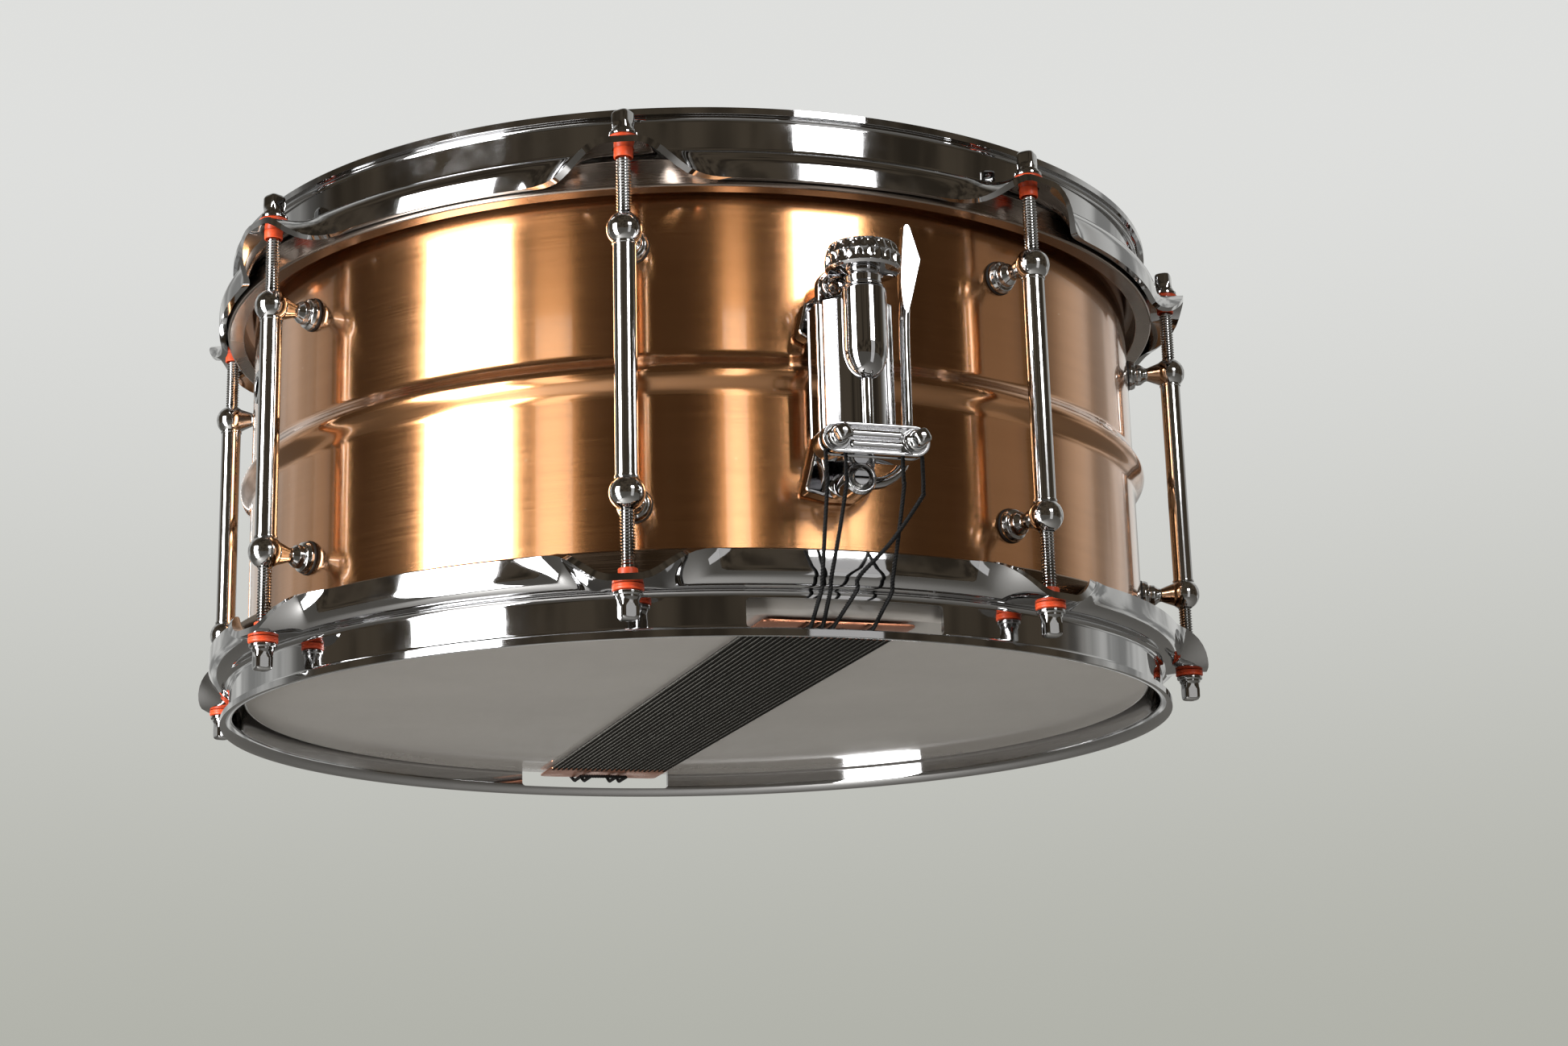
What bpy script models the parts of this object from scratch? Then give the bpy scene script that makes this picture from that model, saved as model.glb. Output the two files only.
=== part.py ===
"""A 14 x 6.5 inch snare drum with a beaded metal shell, eight tube lugs, two triple-flanged
hoops, two heads, a side-throw snare strainer, a butt plate and a band of snare wires.

Metres, +Z up. The origin is the centre of the batter head's playing surface. The strainer
faces -Y and the butt plate faces +Y. Heights in the constants are measured from the shell's
mid-height, where the empty drum_centre sits, and radii from the drum's axis.
"""

import math

import bmesh
import bpy
from mathutils import Matrix

MM = 0.001

# Shell: a rolled metal cylinder with a bead round its middle and turned-in bearing edges
SHELL_RADIUS = 176.2 * MM
SHELL_HEIGHT = 165.1 * MM
SHELL_WALL = 1.2 * MM
BEAD_RISE = 4.0 * MM
BEAD_HALF_HEIGHT = 8.0 * MM
EDGE_ROUND = 1.2 * MM
EDGE_FALL = 1.4 * MM
EDGE_FLANGE = 5.0 * MM
FLANGE_SLOPE = 3.4 * MM
VENT_AZIMUTH = math.radians(-176.0)
VENT_HEIGHT = 34.0 * MM
VENT_BORE = 4.0 * MM
GROMMET_WALL = 1.0 * MM
GROMMET_LIP = 2.5 * MM
GROMMET_RIM = 1.9 * MM
GROMMET_RISE = 1.2 * MM
GAP = 0.3 * MM
RING_STEPS = 48

# Heads: a film bonded into an aluminium flesh hoop that hangs outside the shell
FILM = 0.5 * MM
COLLAR_RADIUS = 177.3 * MM
FLESH_INNER = 180.4 * MM
FLESH_OUTER = 186.9 * MM
FLESH_TOP = 73.4 * MM
FLESH_BOTTOM = 62.9 * MM
COLLAR_ROUND = 1.2 * MM
COLLAR_FALL = 1.6 * MM
WEB_TOP = 72.4 * MM
HEAD_TOP = SHELL_HEIGHT / 2 + GAP + FILM

# Hoops: the mid-surface of a 2.3 mm steel sheet
HOOP_SHEET = 2.3 * MM
HOOP_TOP = 92.2 * MM
LIP_RADIUS = 185.5 * MM
LIP_BEND = 183.2 * MM
WALL_RADIUS = 181.2 * MM
STEP_HEIGHT = 75.2 * MM
SKIRT_RADIUS = 189.2 * MM
SKIRT_EDGE = 64.8 * MM
BEND = 1.2 * MM
LIP_SLOPE = 1.8 * MM
HOOP_ROWS = 8
EAR_REACH = 11.2 * MM
EAR_FLAT = math.radians(2.0)
EAR_END = math.radians(8.0)
EAR_HOLE = 3.8 * MM
GATE_WIDTH = 69.0 * MM
GATE_TOP = 77.3 * MM
GATE_BOTTOM = 89.1 * MM

# Lugs, tension rods and washers, on one circle
LUGS = 8
LUG_SPACING = 2 * math.pi / LUGS
ROD_CIRCLE = 193.3 * MM
BALL_HEIGHT = 45.6 * MM
BALL_RADIUS = 6.1 * MM
TUBE_RADIUS = 3.9 * MM
LUG_BORE = 3.0 * MM
FOOT_RADIUS = 5.6 * MM
FOOT_GAP = 0.6 * MM
FOOT_RIM = 1.6 * MM
FOOT_HEIGHT = 5.0 * MM
POST_RADIUS = 2.7 * MM
POST_START = 4.3 * MM
ROD_RADIUS = 2.6 * MM
ROD_END = 24.0 * MM
KEY_HEAD_WIDTH = 6.3 * MM
KEY_HEAD_HEIGHT = 7.0 * MM
ROD_FLANGE_RADIUS = 4.7 * MM
ROD_FLANGE = 1.9 * MM
ROD_COLLAR_RADIUS = 3.4 * MM
ROD_COLLAR = 0.6 * MM
WASHER_BORE = 2.9 * MM
WASHER_SLEEVE = 3.45 * MM
WASHER_FLANGE = 5.1 * MM
WASHER_THICK = 1.9 * MM
WASHER_DROP = 5.6 * MM
EAR_FACE = STEP_HEIGHT + HOOP_SHEET / 2 + GAP

# Strainer, in front of the shell at -Y: depths are distances from the drum's axis
STRAINER_BACK = 176.9 * MM
BRIDGE_BACK = 182.5 * MM
BRIDGE_FRONT = 187.0 * MM
BRIDGE_HALF = 10.0 * MM
TAB_RADIUS = 5.5 * MM
TAB_PLACE = (-4.5 * MM, 27.0 * MM)
BRACKET_END_RADIUS = 7.5 * MM
FEET_SPANS = ((14.0 * MM, 24.0 * MM), (-46.0 * MM, -22.0 * MM))
HOUSING_BACK = 188.0 * MM
HOUSING_FRONT = 203.0 * MM
HOUSING_HALF = 13.4 * MM
HOUSING_TOP = 18.0 * MM
HOUSING_BOTTOM = -26.3 * MM
HOUSING_BEVEL = 1.8 * MM
NOSE_HALF = 9.0 * MM
NOSE_DEPTH = 205.4 * MM
NOSE_RADIUS = 6.6 * MM
SLEEVE_DEPTH = 207.0 * MM
SLEEVE_RADIUS = 7.7 * MM
SLEEVE_TOP = 20.8 * MM
SLEEVE_BOTTOM = -10.2 * MM
SLEEVE_ROUND = 5.0 * MM
SPINDLE_RADIUS = 1.9 * MM
SPINDLE_BORE = 3.0 * MM
KNOB_RADIUS = 12.7 * MM
KNOB_BOTTOM = 25.8 * MM
KNOB_TOP = 35.4 * MM
KNOB_BEVEL = 1.2 * MM
NECK_RADIUS = 6.4 * MM
CLAMP_HEIGHT = -33.0 * MM
CLAMP_HALF = 18.4 * MM
CLAMP_RADIUS = 5.15 * MM
CLAMP_SCREW_X = 13.4 * MM
BLOCK_BACK = 203.0 * MM
BLOCK_FRONT = 210.3 * MM
CORD_DEPTH = 211.5 * MM
PLATE_BACK = 212.7 * MM
PLATE_FRONT = 214.8 * MM
CLAMP_SCREW_RADIUS = 1.9 * MM
CLAMP_SCREW_COLLAR = 3.6 * MM
CLAMP_SCREW_RIM = 1.8 * MM
CLAMP_SCREW_HEAD = 7.6 * MM
CLAMP_SCREW_HALF = 2.7 * MM
CLAMP_SCREW_BORE = 2.4 * MM
PIVOT_HEIGHT = -41.5 * MM
PIVOT_RADIUS = 2.6 * MM
PIVOT_BORE = 3.0 * MM
BOSS_RADIUS = 5.7 * MM
BOSS_BACK = 187.6 * MM
BOSS_FRONT = 199.0 * MM
LEVER_BACK = 190.8 * MM
LEVER_FRONT = 194.8 * MM

# Butt plate, behind the shell at +Y
BUTT_BACK = 176.9 * MM
BUTT_HALF = 17.0 * MM
BUTT_TOP = -13.0 * MM
BUTT_BOTTOM = -50.0 * MM
BUTT_BASE = 181.5 * MM
BUTT_BLOCK_FRONT = 194.2 * MM
BUTT_CORD_DEPTH = 196.0 * MM
BUTT_PLATE_BACK = 197.4 * MM
BUTT_PLATE_FRONT = 199.6 * MM

# Snare wires under the snare-side head, and the cords that hold them
WIRES_HALF_WIDTH = 26.5 * MM
WIRES_HALF_LENGTH = 152.0 * MM
WIRES_THICK = 1.9 * MM
WIRES_TOP = -(HEAD_TOP + GAP)
END_PLATE_REACH = 173.5 * MM
END_PLATE_LAP = 3.0 * MM
END_PLATE_THICK = 1.2 * MM
END_PLATE_HALF = 27.1 * MM
END_PLATE_DROP = 0.4 * MM
CORD_RADIUS = 0.9 * MM
CORD_GRIP = 3.5 * MM
CORD_OUTER = 16.5 * MM
CORD_INNER = 9.8 * MM
CORD_LOOP = 160.0 * MM
CORD_EXIT = -46.5 * MM
CORD_CROSSING_EXIT = -50.0 * MM
CROSSING_GAP = 2.2 * MM
BUTT_EXIT = -42.0 * MM
CORD_CORNER = 192.2 * MM
CORD_CORNER_HEIGHT = -77.6 * MM
CORD_UNDER = -86.9 * MM


def clear_scene():
    for obj in list(bpy.data.objects):
        bpy.data.objects.remove(obj)


def make_collection(name):
    collection = bpy.data.collections.new(name)
    bpy.context.scene.collection.children.link(collection)
    return collection


def make_material(name, colour, roughness, metallic):
    material = bpy.data.materials.new(name)
    material.use_nodes = True
    shader = material.node_tree.nodes["Principled BSDF"]
    shader.inputs["Base Color"].default_value = (*colour, 1.0)
    shader.inputs["Roughness"].default_value = roughness
    shader.inputs["Metallic"].default_value = metallic
    return material


def add_object(name, data, collection):
    """An object in the drum's own frame, whose origin is the empty at the shell's mid-height."""
    obj = bpy.data.objects.new(name, data)
    collection.objects.link(obj)
    obj.parent = CENTRE
    return obj


def make_centre():
    centre = bpy.data.objects.new("drum_centre", None)
    DRUM.objects.link(centre)
    centre.location = (0.0, 0.0, -HEAD_TOP)
    return centre


def add_cutter(name, mesh):
    """A helper that a Boolean reads and that is never rendered."""
    return as_cutter(add_object(name, mesh, CUTTERS))


def as_cutter(obj):
    obj.hide_render = True
    obj.display_type = "WIRE"
    return obj


def finish_part(obj, material, shade=True):
    obj.data.materials.clear()
    obj.data.materials.append(material)
    if shade:
        obj.data.shade_smooth()
        obj.data.set_sharp_from_angle(angle=math.radians(35))
    return obj


def cut(obj, cutter, operation="DIFFERENCE", solver="EXACT"):
    modifier = obj.modifiers.new(cutter.name, "BOOLEAN")
    modifier.operation = operation
    modifier.object = cutter
    modifier.solver = solver


def join(obj, other):
    cut(obj, other, "UNION")


def baked_mesh(obj):
    """The mesh that an object's modifiers make, after which the object is removed."""
    bpy.context.view_layer.update()
    graph = bpy.context.evaluated_depsgraph_get()
    mesh = bpy.data.meshes.new_from_object(obj.evaluated_get(graph))
    mesh.name = obj.name
    bpy.data.objects.remove(obj)
    return mesh


def mesh_from(bm, name):
    mesh = bpy.data.meshes.new(name)
    bm.to_mesh(mesh)
    bm.free()
    return mesh


def box_mesh(name, low, high):
    bm = bmesh.new()
    middle = [(a + b) / 2 for a, b in zip(low, high)]
    size = [b - a for a, b in zip(low, high)]
    matrix = Matrix.Translation(middle) @ Matrix.Diagonal((*size, 1.0))
    bmesh.ops.create_cube(bm, size=1.0, matrix=matrix)
    return mesh_from(bm, name)


def cylinder_mesh(name, radius, length, places, sides=12):
    """Capped cylinders of one size, one for each matrix in places."""
    bm = bmesh.new()
    for place in places:
        bmesh.ops.create_cone(
            bm,
            cap_ends=True,
            segments=sides,
            radius1=radius,
            radius2=radius,
            depth=length,
            matrix=place,
        )
    return mesh_from(bm, name)


def turned(name, profile, steps, collection, ring=False):
    """A profile of (radius, height) points swept round Z. It runs down its outer side.

    A ring's profile closes on itself, and any other starts and ends on the axis."""
    mesh = bpy.data.meshes.new(name)
    points = [(radius, 0.0, height) for radius, height in profile]
    edges = [(i, i + 1) for i in range(len(points) - 1)]
    if ring:
        edges.append((len(points) - 1, 0))
    mesh.from_pydata(points, edges, [])
    obj = add_object(name, mesh, collection)
    screw = obj.modifiers.new("turn", "SCREW")
    screw.angle = 2 * math.pi
    screw.steps = steps
    screw.render_steps = steps
    screw.use_merge_vertices = True
    screw.merge_threshold = 0.00001
    return obj


def arc(centre, radius, start, end, count):
    """Points along an arc, from one angle in degrees to another."""
    angles = [math.radians(start + (end - start) * i / (count - 1)) for i in range(count)]
    return [(centre[0] + radius * math.cos(a), centre[1] + radius * math.sin(a)) for a in angles]


def flat_plate(name, outlines, thickness, matrix):
    """A plate of an even thickness from flat outlines, the first round it and the rest its holes."""
    curve = bpy.data.curves.new(name, "CURVE")
    curve.dimensions = "2D"
    curve.fill_mode = "BOTH"
    curve.extrude = thickness / 2
    for outline in outlines:
        spline = curve.splines.new("POLY")
        spline.points.add(len(outline) - 1)
        for point, (x, y) in zip(spline.points, outline):
            point.co = (x, y, 0.0, 1.0)
        spline.use_cyclic_u = True
    return curve_as_mesh(add_object(name, curve, DRUM), matrix)


def curve_as_mesh(obj, matrix):
    """Replaces a curve object with a welded mesh object of the same name, moved by matrix."""
    name = obj.name
    mesh = baked_mesh(obj)
    bm = bmesh.new()
    bm.from_mesh(mesh)
    bmesh.ops.remove_doubles(bm, verts=bm.verts, dist=0.000001)
    bmesh.ops.transform(bm, verts=bm.verts, matrix=matrix)
    bmesh.ops.recalc_face_normals(bm, faces=bm.faces)
    bm.to_mesh(mesh)
    bm.free()
    return add_object(name, mesh, DRUM)


def upright(depth):
    """Stands an outline in the XZ plane at a distance in front of the drum's axis."""
    return Matrix.Translation((0.0, -depth, 0.0)) @ Matrix.Rotation(math.pi / 2, 4, "X")


def along_y(x, y, z):
    return Matrix.Translation((x, y, z)) @ Matrix.Rotation(math.pi / 2, 4, "X")


def stadium(half_length, radius, height):
    """A slot shape along X with round ends."""
    reach = half_length - radius
    right = arc((reach, height), radius, -90, 90, 7)
    left = arc((-reach, height), radius, 90, 270, 7)
    return right + left


def hole(x, z, radius, sides=8):
    step = 360 / sides
    return arc((x, z), radius, step / 2, 360 - step / 2, sides)


# ---------------------------------------------------------------- shell and heads


def shell_outside():
    """The shell's outer line, down from the batter edge, with the bead at mid-height."""
    top = SHELL_HEIGHT / 2
    upper = [(SHELL_RADIUS - EDGE_ROUND, top), (SHELL_RADIUS, top - EDGE_FALL)]
    bead = [
        (SHELL_RADIUS, BEAD_HALF_HEIGHT),
        (SHELL_RADIUS + 0.7 * BEAD_RISE, 0.45 * BEAD_HALF_HEIGHT),
        (SHELL_RADIUS + BEAD_RISE, 0.0),
    ]
    half = upper + bead
    return half + [(radius, -height) for radius, height in reversed(half[:-1])]


def shell_profile():
    """The outer line, and an inner line set in by the wall with the flanges turned inwards."""
    outer = shell_outside()
    flange = (SHELL_RADIUS - EDGE_FLANGE, SHELL_HEIGHT / 2 - EDGE_FLANGE)
    inner = [(radius - SHELL_WALL, height) for radius, height in reversed(outer[2:-2])]
    lower_edge = [(flange[0], -flange[1]), (flange[0], -flange[1] + SHELL_WALL)]
    lower_edge.append((SHELL_RADIUS - SHELL_WALL, -flange[1] + FLANGE_SLOPE))
    upper_edge = [(radius, -height) for radius, height in reversed(lower_edge)]
    return outer + lower_edge + inner + upper_edge


def radial(azimuth, radius, height):
    """A matrix whose Z axis points outwards from the drum's axis at an azimuth."""
    turn = Matrix.Rotation(azimuth, 4, "Z")
    return turn @ Matrix.Translation((radius, 0.0, height)) @ Matrix.Rotation(math.pi / 2, 4, "Y")


def make_shell():
    shell = turned("shell", shell_profile(), RING_STEPS, DRUM, ring=True)
    place = radial(VENT_AZIMUTH, SHELL_RADIUS, VENT_HEIGHT)
    bore = VENT_BORE + GROMMET_WALL + 0.4 * MM
    cut(shell, add_cutter("vent_cutter", cylinder_mesh("vent_cutter", bore, 20 * MM, [place])))
    finish_part(shell, MATERIALS["bronze"])


def make_vent_grommet():
    outside = 2 * GAP
    inside = -SHELL_WALL - 5 * GAP
    profile = [
        (VENT_BORE, outside + GROMMET_RISE),
        (VENT_BORE + GROMMET_RIM, outside + GROMMET_RISE),
        (VENT_BORE + GROMMET_LIP, outside),
        (VENT_BORE + GROMMET_WALL, outside),
        (VENT_BORE + GROMMET_WALL, inside),
        (VENT_BORE + GROMMET_LIP, inside),
        (VENT_BORE + GROMMET_RIM, inside - GROMMET_RISE),
        (VENT_BORE, inside - GROMMET_RISE),
    ]
    grommet = turned("vent_grommet", profile, 12, DRUM, ring=True)
    grommet.matrix_basis = radial(VENT_AZIMUTH, SHELL_RADIUS, VENT_HEIGHT)
    finish_part(grommet, MATERIALS["chrome"])


def head_profile():
    """The film and its flesh hoop as one turned section, with the film over the bearing edge."""
    under = HEAD_TOP - FILM
    return [
        (0.0, HEAD_TOP),
        (COLLAR_RADIUS - COLLAR_ROUND, HEAD_TOP),
        (COLLAR_RADIUS + FILM, HEAD_TOP - COLLAR_FALL),
        (COLLAR_RADIUS + FILM, WEB_TOP),
        (FLESH_INNER, WEB_TOP),
        (FLESH_INNER, FLESH_TOP),
        (FLESH_OUTER, FLESH_TOP),
        (FLESH_OUTER, FLESH_BOTTOM),
        (FLESH_INNER, FLESH_BOTTOM),
        (FLESH_INNER, WEB_TOP - FILM),
        (COLLAR_RADIUS, WEB_TOP - FILM),
        (COLLAR_RADIUS, under - COLLAR_FALL),
        (COLLAR_RADIUS - COLLAR_ROUND, under),
        (0.0, under),
    ]


def make_heads():
    for name, flip in (("batter_head", 0.0), ("snare_side_head", math.pi)):
        head = turned(name, head_profile(), RING_STEPS, DRUM)
        head.rotation_euler = (flip, 0.0, 0.0)
        finish_part(head, MATERIALS["head_film"])


# ---------------------------------------------------------------- hoops


def hoop_azimuths():
    """Column azimuths, closer together across each ear than between the ears."""
    offsets = (0.0, 3.0, 5.5, 8.0, 15.0, 22.5, 30.0, 37.0, 39.5, 42.0)
    start = LUG_SPACING / 2
    return [start + k * LUG_SPACING + math.radians(step) for k in range(LUGS) for step in offsets]


def ear_amount(azimuth):
    """0 where the skirt hangs down, rising smoothly to 1 where it lies out flat as an ear."""
    offset = abs((azimuth % LUG_SPACING) - LUG_SPACING / 2)
    share = min(max((EAR_END - offset) / (EAR_END - EAR_FLAT), 0.0), 1.0)
    return share * share * (3 - 2 * share)


def hoop_point(azimuth, row):
    """The mid-surface point at an azimuth, on the fixed rows or the skirt rows after them."""
    lip = HOOP_TOP - HOOP_SHEET / 2
    fixed = [
        (LIP_RADIUS, lip),
        (LIP_BEND, lip),
        (WALL_RADIUS, lip - LIP_SLOPE),
        (WALL_RADIUS, STEP_HEIGHT + BEND),
        (WALL_RADIUS + BEND, STEP_HEIGHT),
        (SKIRT_RADIUS - BEND, STEP_HEIGHT),
    ]
    if row < len(fixed):
        radius, height = fixed[row]
    else:
        share = ear_amount(azimuth)
        drop = STEP_HEIGHT - BEND - SKIRT_EDGE
        along = (row - len(fixed)) * (drop + share * (EAR_REACH - drop))
        swing = share * math.pi / 2
        radius = SKIRT_RADIUS + along * math.sin(swing)
        height = STEP_HEIGHT - BEND * (1 - share) - along * math.cos(swing)
    return (radius * math.cos(azimuth), radius * math.sin(azimuth), height)


def hoop_mesh():
    """A grid rolled into a ring, one column for each azimuth and one row for each profile point."""
    columns = hoop_azimuths()
    columns.append(columns[0] + 2 * math.pi)
    last_column = len(columns) - 1
    bm = bmesh.new()
    bmesh.ops.create_grid(bm, x_segments=last_column, y_segments=HOOP_ROWS - 1, size=1.0)
    for vert in bm.verts:
        column = round((vert.co.x + 1) / 2 * last_column)
        row = round((vert.co.y + 1) / 2 * (HOOP_ROWS - 1))
        vert.co = hoop_point(columns[column], row)
    bmesh.ops.remove_doubles(bm, verts=bm.verts, dist=0.000001)
    return mesh_from(bm, "hoop_sheet")


def make_hoops():
    ears = [
        Matrix.Rotation((k + 0.5) * LUG_SPACING, 4, "Z")
        @ Matrix.Translation((ROD_CIRCLE, 0.0, STEP_HEIGHT))
        for k in range(LUGS)
    ]
    holes = add_cutter("ear_holes", cylinder_mesh("ear_holes", EAR_HOLE, 8 * MM, ears))
    for name, flip in (("batter_hoop", 0.0), ("snare_side_hoop", math.pi)):
        hoop = add_object(name, hoop_mesh(), DRUM)
        hoop.rotation_euler = (flip, 0.0, 0.0)
        sheet = hoop.modifiers.new("sheet", "SOLIDIFY")
        sheet.thickness = HOOP_SHEET
        sheet.offset = 0.0
        sheet.use_even_offset = True
        finish_part(hoop, MATERIALS["chrome"])
        if flip:
            holes = add_cutter("snare_ear_holes", holes.data)
            holes.rotation_euler = (flip, 0.0, 0.0)
            cut(hoop, gate_cutter())
        cut(hoop, holes)


def gate_cutter():
    """Two boxes in one line through the snare-side hoop's wall, where the snares pass out."""
    bm = bmesh.new()
    for side in (-1, 1):
        middle = Matrix.Translation((0.0, side * WALL_RADIUS, -(GATE_TOP + GATE_BOTTOM) / 2))
        size = Matrix.Diagonal((GATE_WIDTH, 16 * MM, GATE_BOTTOM - GATE_TOP, 1.0))
        bmesh.ops.create_cube(bm, size=1.0, matrix=middle @ size)
    return add_cutter("snare_gates", mesh_from(bm, "snare_gates"))


# ---------------------------------------------------------------- lugs, rods and washers


def lug_profile():
    """A bored tube with a ball at each end, down its outer side and back up the bore."""
    reach = math.degrees(math.acos(LUG_BORE / BALL_RADIUS))
    waist = math.degrees(math.acos(TUBE_RADIUS / BALL_RADIUS))
    ball = arc((0.0, BALL_HEIGHT), BALL_RADIUS, reach, -waist, 5)
    return ball + [(radius, -height) for radius, height in reversed(ball)]


def post_profile():
    """A lug post from inside its ball to the bell foot on the shell, along its own axis."""
    standoff = ROD_CIRCLE - SHELL_RADIUS - FOOT_GAP
    return [
        (0.0, standoff),
        (FOOT_RADIUS, standoff),
        (FOOT_RADIUS, standoff - FOOT_RIM),
        (POST_RADIUS, standoff - FOOT_HEIGHT),
        (LUG_BORE + GAP, POST_START),
        (0.0, POST_START),
    ]


def lug_mesh():
    lug = turned("lug", lug_profile(), 10, DRUM, ring=True)
    for side in (-1, 1):
        post = turned(f"lug_post_{side}", post_profile(), 8, CUTTERS)
        post.location = (0.0, 0.0, side * BALL_HEIGHT)
        post.rotation_euler = (0.0, -math.pi / 2, 0.0)
        join(lug, post)
    mesh = baked_mesh(lug)
    for side in (-1, 1):
        bpy.data.objects.remove(bpy.data.objects[f"lug_post_{side}"])
    return mesh


def rod_mesh():
    """A tension rod pointing down, with its flange's underside at the local origin."""
    profile = [
        (0.0, ROD_FLANGE + ROD_COLLAR),
        (ROD_COLLAR_RADIUS, ROD_FLANGE + ROD_COLLAR),
        (ROD_FLANGE_RADIUS, ROD_FLANGE - ROD_COLLAR),
        (ROD_FLANGE_RADIUS, 0.0),
        (ROD_RADIUS, 0.0),
        (ROD_RADIUS, ROD_END - EAR_FACE - WASHER_THICK),
        (0.0, ROD_END - EAR_FACE - WASHER_THICK),
    ]
    rod = turned("tension_rod", profile, 8, DRUM)
    half = KEY_HEAD_WIDTH / 2
    top = ROD_FLANGE + KEY_HEAD_HEIGHT
    head = add_cutter("key_head", box_mesh("key_head", (-half, -half, 1 * MM), (half, half, top)))
    join(rod, head)
    mesh = baked_mesh(rod)
    bpy.data.objects.remove(head)
    return mesh


def washer_mesh():
    """A nylon washer whose flange sits on the ear and whose sleeve lines the ear's hole."""
    profile = [
        (WASHER_BORE, WASHER_THICK - GAP),
        (WASHER_FLANGE, WASHER_THICK - GAP),
        (WASHER_FLANGE, 0.0),
        (WASHER_SLEEVE, 0.0),
        (WASHER_SLEEVE, -WASHER_DROP),
        (WASHER_BORE, -WASHER_DROP),
    ]
    return baked_mesh(turned("sleeve_washer", profile, 8, DRUM, ring=True))


def place_round(name, mesh, material, azimuth, height, flip):
    """A copy on the rod circle, standing on the batter side or turned over for the snare side."""
    obj = add_object(name, mesh, DRUM)
    obj.location = (ROD_CIRCLE * math.cos(azimuth), ROD_CIRCLE * math.sin(azimuth), height)
    obj.rotation_euler = (flip, 0.0, azimuth)
    finish_part(obj, material)


def make_tensioning():
    lug = lug_mesh()
    rod = rod_mesh()
    washer = washer_mesh()
    for k in range(LUGS):
        azimuth = (k + 0.5) * LUG_SPACING
        place_round(f"lug_{k + 1}", lug, MATERIALS["chrome"], azimuth, 0.0, 0.0)
        for side, sign, flip in (("batter", 1, 0.0), ("snare", -1, math.pi)):
            seat = sign * EAR_FACE
            flange = sign * (EAR_FACE + WASHER_THICK)
            place_round(f"{side}_washer_{k + 1}", washer, MATERIALS["nylon"], azimuth, seat, flip)
            rod_name = f"{side}_tension_rod_{k + 1}"
            place_round(rod_name, rod, MATERIALS["steel"], azimuth, flange, flip)


# ---------------------------------------------------------------- strainer


def make_bracket():
    """The fixed base: two feet on the shell either side of the bead, a bridge and the pivot post."""
    bridge = BRIDGE_FRONT - BRIDGE_BACK
    tab = arc(TAB_PLACE, TAB_RADIUS, 180, 20, 7)
    lower = arc((0.0, PIVOT_HEIGHT), BRACKET_END_RADIUS, 0, -180, 9)
    right = [(BRIDGE_HALF, 21.0 * MM), (BRIDGE_HALF, -20.0 * MM)]
    middle = upright(BRIDGE_BACK + bridge / 2)
    bracket = flat_plate("strainer_bracket", [lower + tab + right], bridge, middle)
    for k, (low, high) in enumerate(FEET_SPANS):
        name = f"bracket_foot_{k + 1}"
        near = (-BRIDGE_HALF + MM, -BRIDGE_BACK - MM, low)
        far = (BRIDGE_HALF - MM, -STRAINER_BACK, high)
        join(bracket, add_cutter(name, box_mesh(name, near, far)))
    post_length = BOSS_FRONT - BRIDGE_BACK - 2 * MM
    place = along_y(0.0, -(BRIDGE_BACK + 1 * MM + post_length / 2), PIVOT_HEIGHT)
    post = cylinder_mesh("pivot_post", PIVOT_RADIUS, post_length, [place])
    join(bracket, add_cutter("pivot_post", post))
    finish_part(bracket, MATERIALS["chrome"])


def housing_outline():
    """The sliding housing seen from above: a stepped body that narrows to a round front."""
    left = [
        (-HOUSING_HALF, -HOUSING_BACK),
        (-HOUSING_HALF, -HOUSING_FRONT + HOUSING_BEVEL),
        (-HOUSING_HALF + HOUSING_BEVEL, -HOUSING_FRONT),
        (-NOSE_HALF, -NOSE_DEPTH),
    ]
    front = arc((0.0, -NOSE_DEPTH), NOSE_RADIUS, 190, 350, 9)
    return left + front + [(-x, y) for x, y in reversed(left)]


def make_carriage():
    length = HOUSING_TOP - HOUSING_BOTTOM
    middle = Matrix.Translation((0.0, 0.0, (HOUSING_TOP + HOUSING_BOTTOM) / 2))
    carriage = flat_plate("strainer_carriage", [housing_outline()], length, middle)
    sleeve = turned(
        "sleeve_blank",
        [
            (0.0, SLEEVE_TOP),
            (SLEEVE_RADIUS, SLEEVE_TOP),
            (SLEEVE_RADIUS, SLEEVE_BOTTOM + SLEEVE_ROUND),
            (SLEEVE_RADIUS * 0.75, SLEEVE_BOTTOM + SLEEVE_ROUND * 0.3),
            (0.0, SLEEVE_BOTTOM),
        ],
        16,
        CUTTERS,
    )
    sleeve.location = (0.0, -SLEEVE_DEPTH, 0.0)
    as_cutter(sleeve)
    join(carriage, sleeve)
    place = Matrix.Translation((0.0, -SLEEVE_DEPTH, 0.0))
    bore = cylinder_mesh("spindle_bore", SPINDLE_BORE, 120 * MM, [place], 10)
    cut(carriage, add_cutter("spindle_bore", bore))
    finish_part(carriage, MATERIALS["chrome"])


def make_knob():
    """The knurled tension knob with the spindle that screws into the clamp block."""
    profile = [
        (0.0, KNOB_TOP),
        (KNOB_RADIUS - KNOB_BEVEL, KNOB_TOP),
        (KNOB_RADIUS, KNOB_TOP - KNOB_BEVEL),
        (KNOB_RADIUS, KNOB_BOTTOM + KNOB_BEVEL),
        (KNOB_RADIUS - KNOB_BEVEL, KNOB_BOTTOM),
        (NECK_RADIUS, KNOB_BOTTOM - KNOB_BEVEL / 2),
        (NECK_RADIUS, SLEEVE_TOP + GAP),
        (SPINDLE_RADIUS, SLEEVE_TOP + GAP),
        (SPINDLE_RADIUS, CLAMP_HEIGHT),
        (0.0, CLAMP_HEIGHT),
    ]
    knob = turned("tension_knob", profile, 24, DRUM)
    knob.location = (0.0, -SLEEVE_DEPTH, 0.0)
    finish_part(knob, MATERIALS["chrome"])


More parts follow.
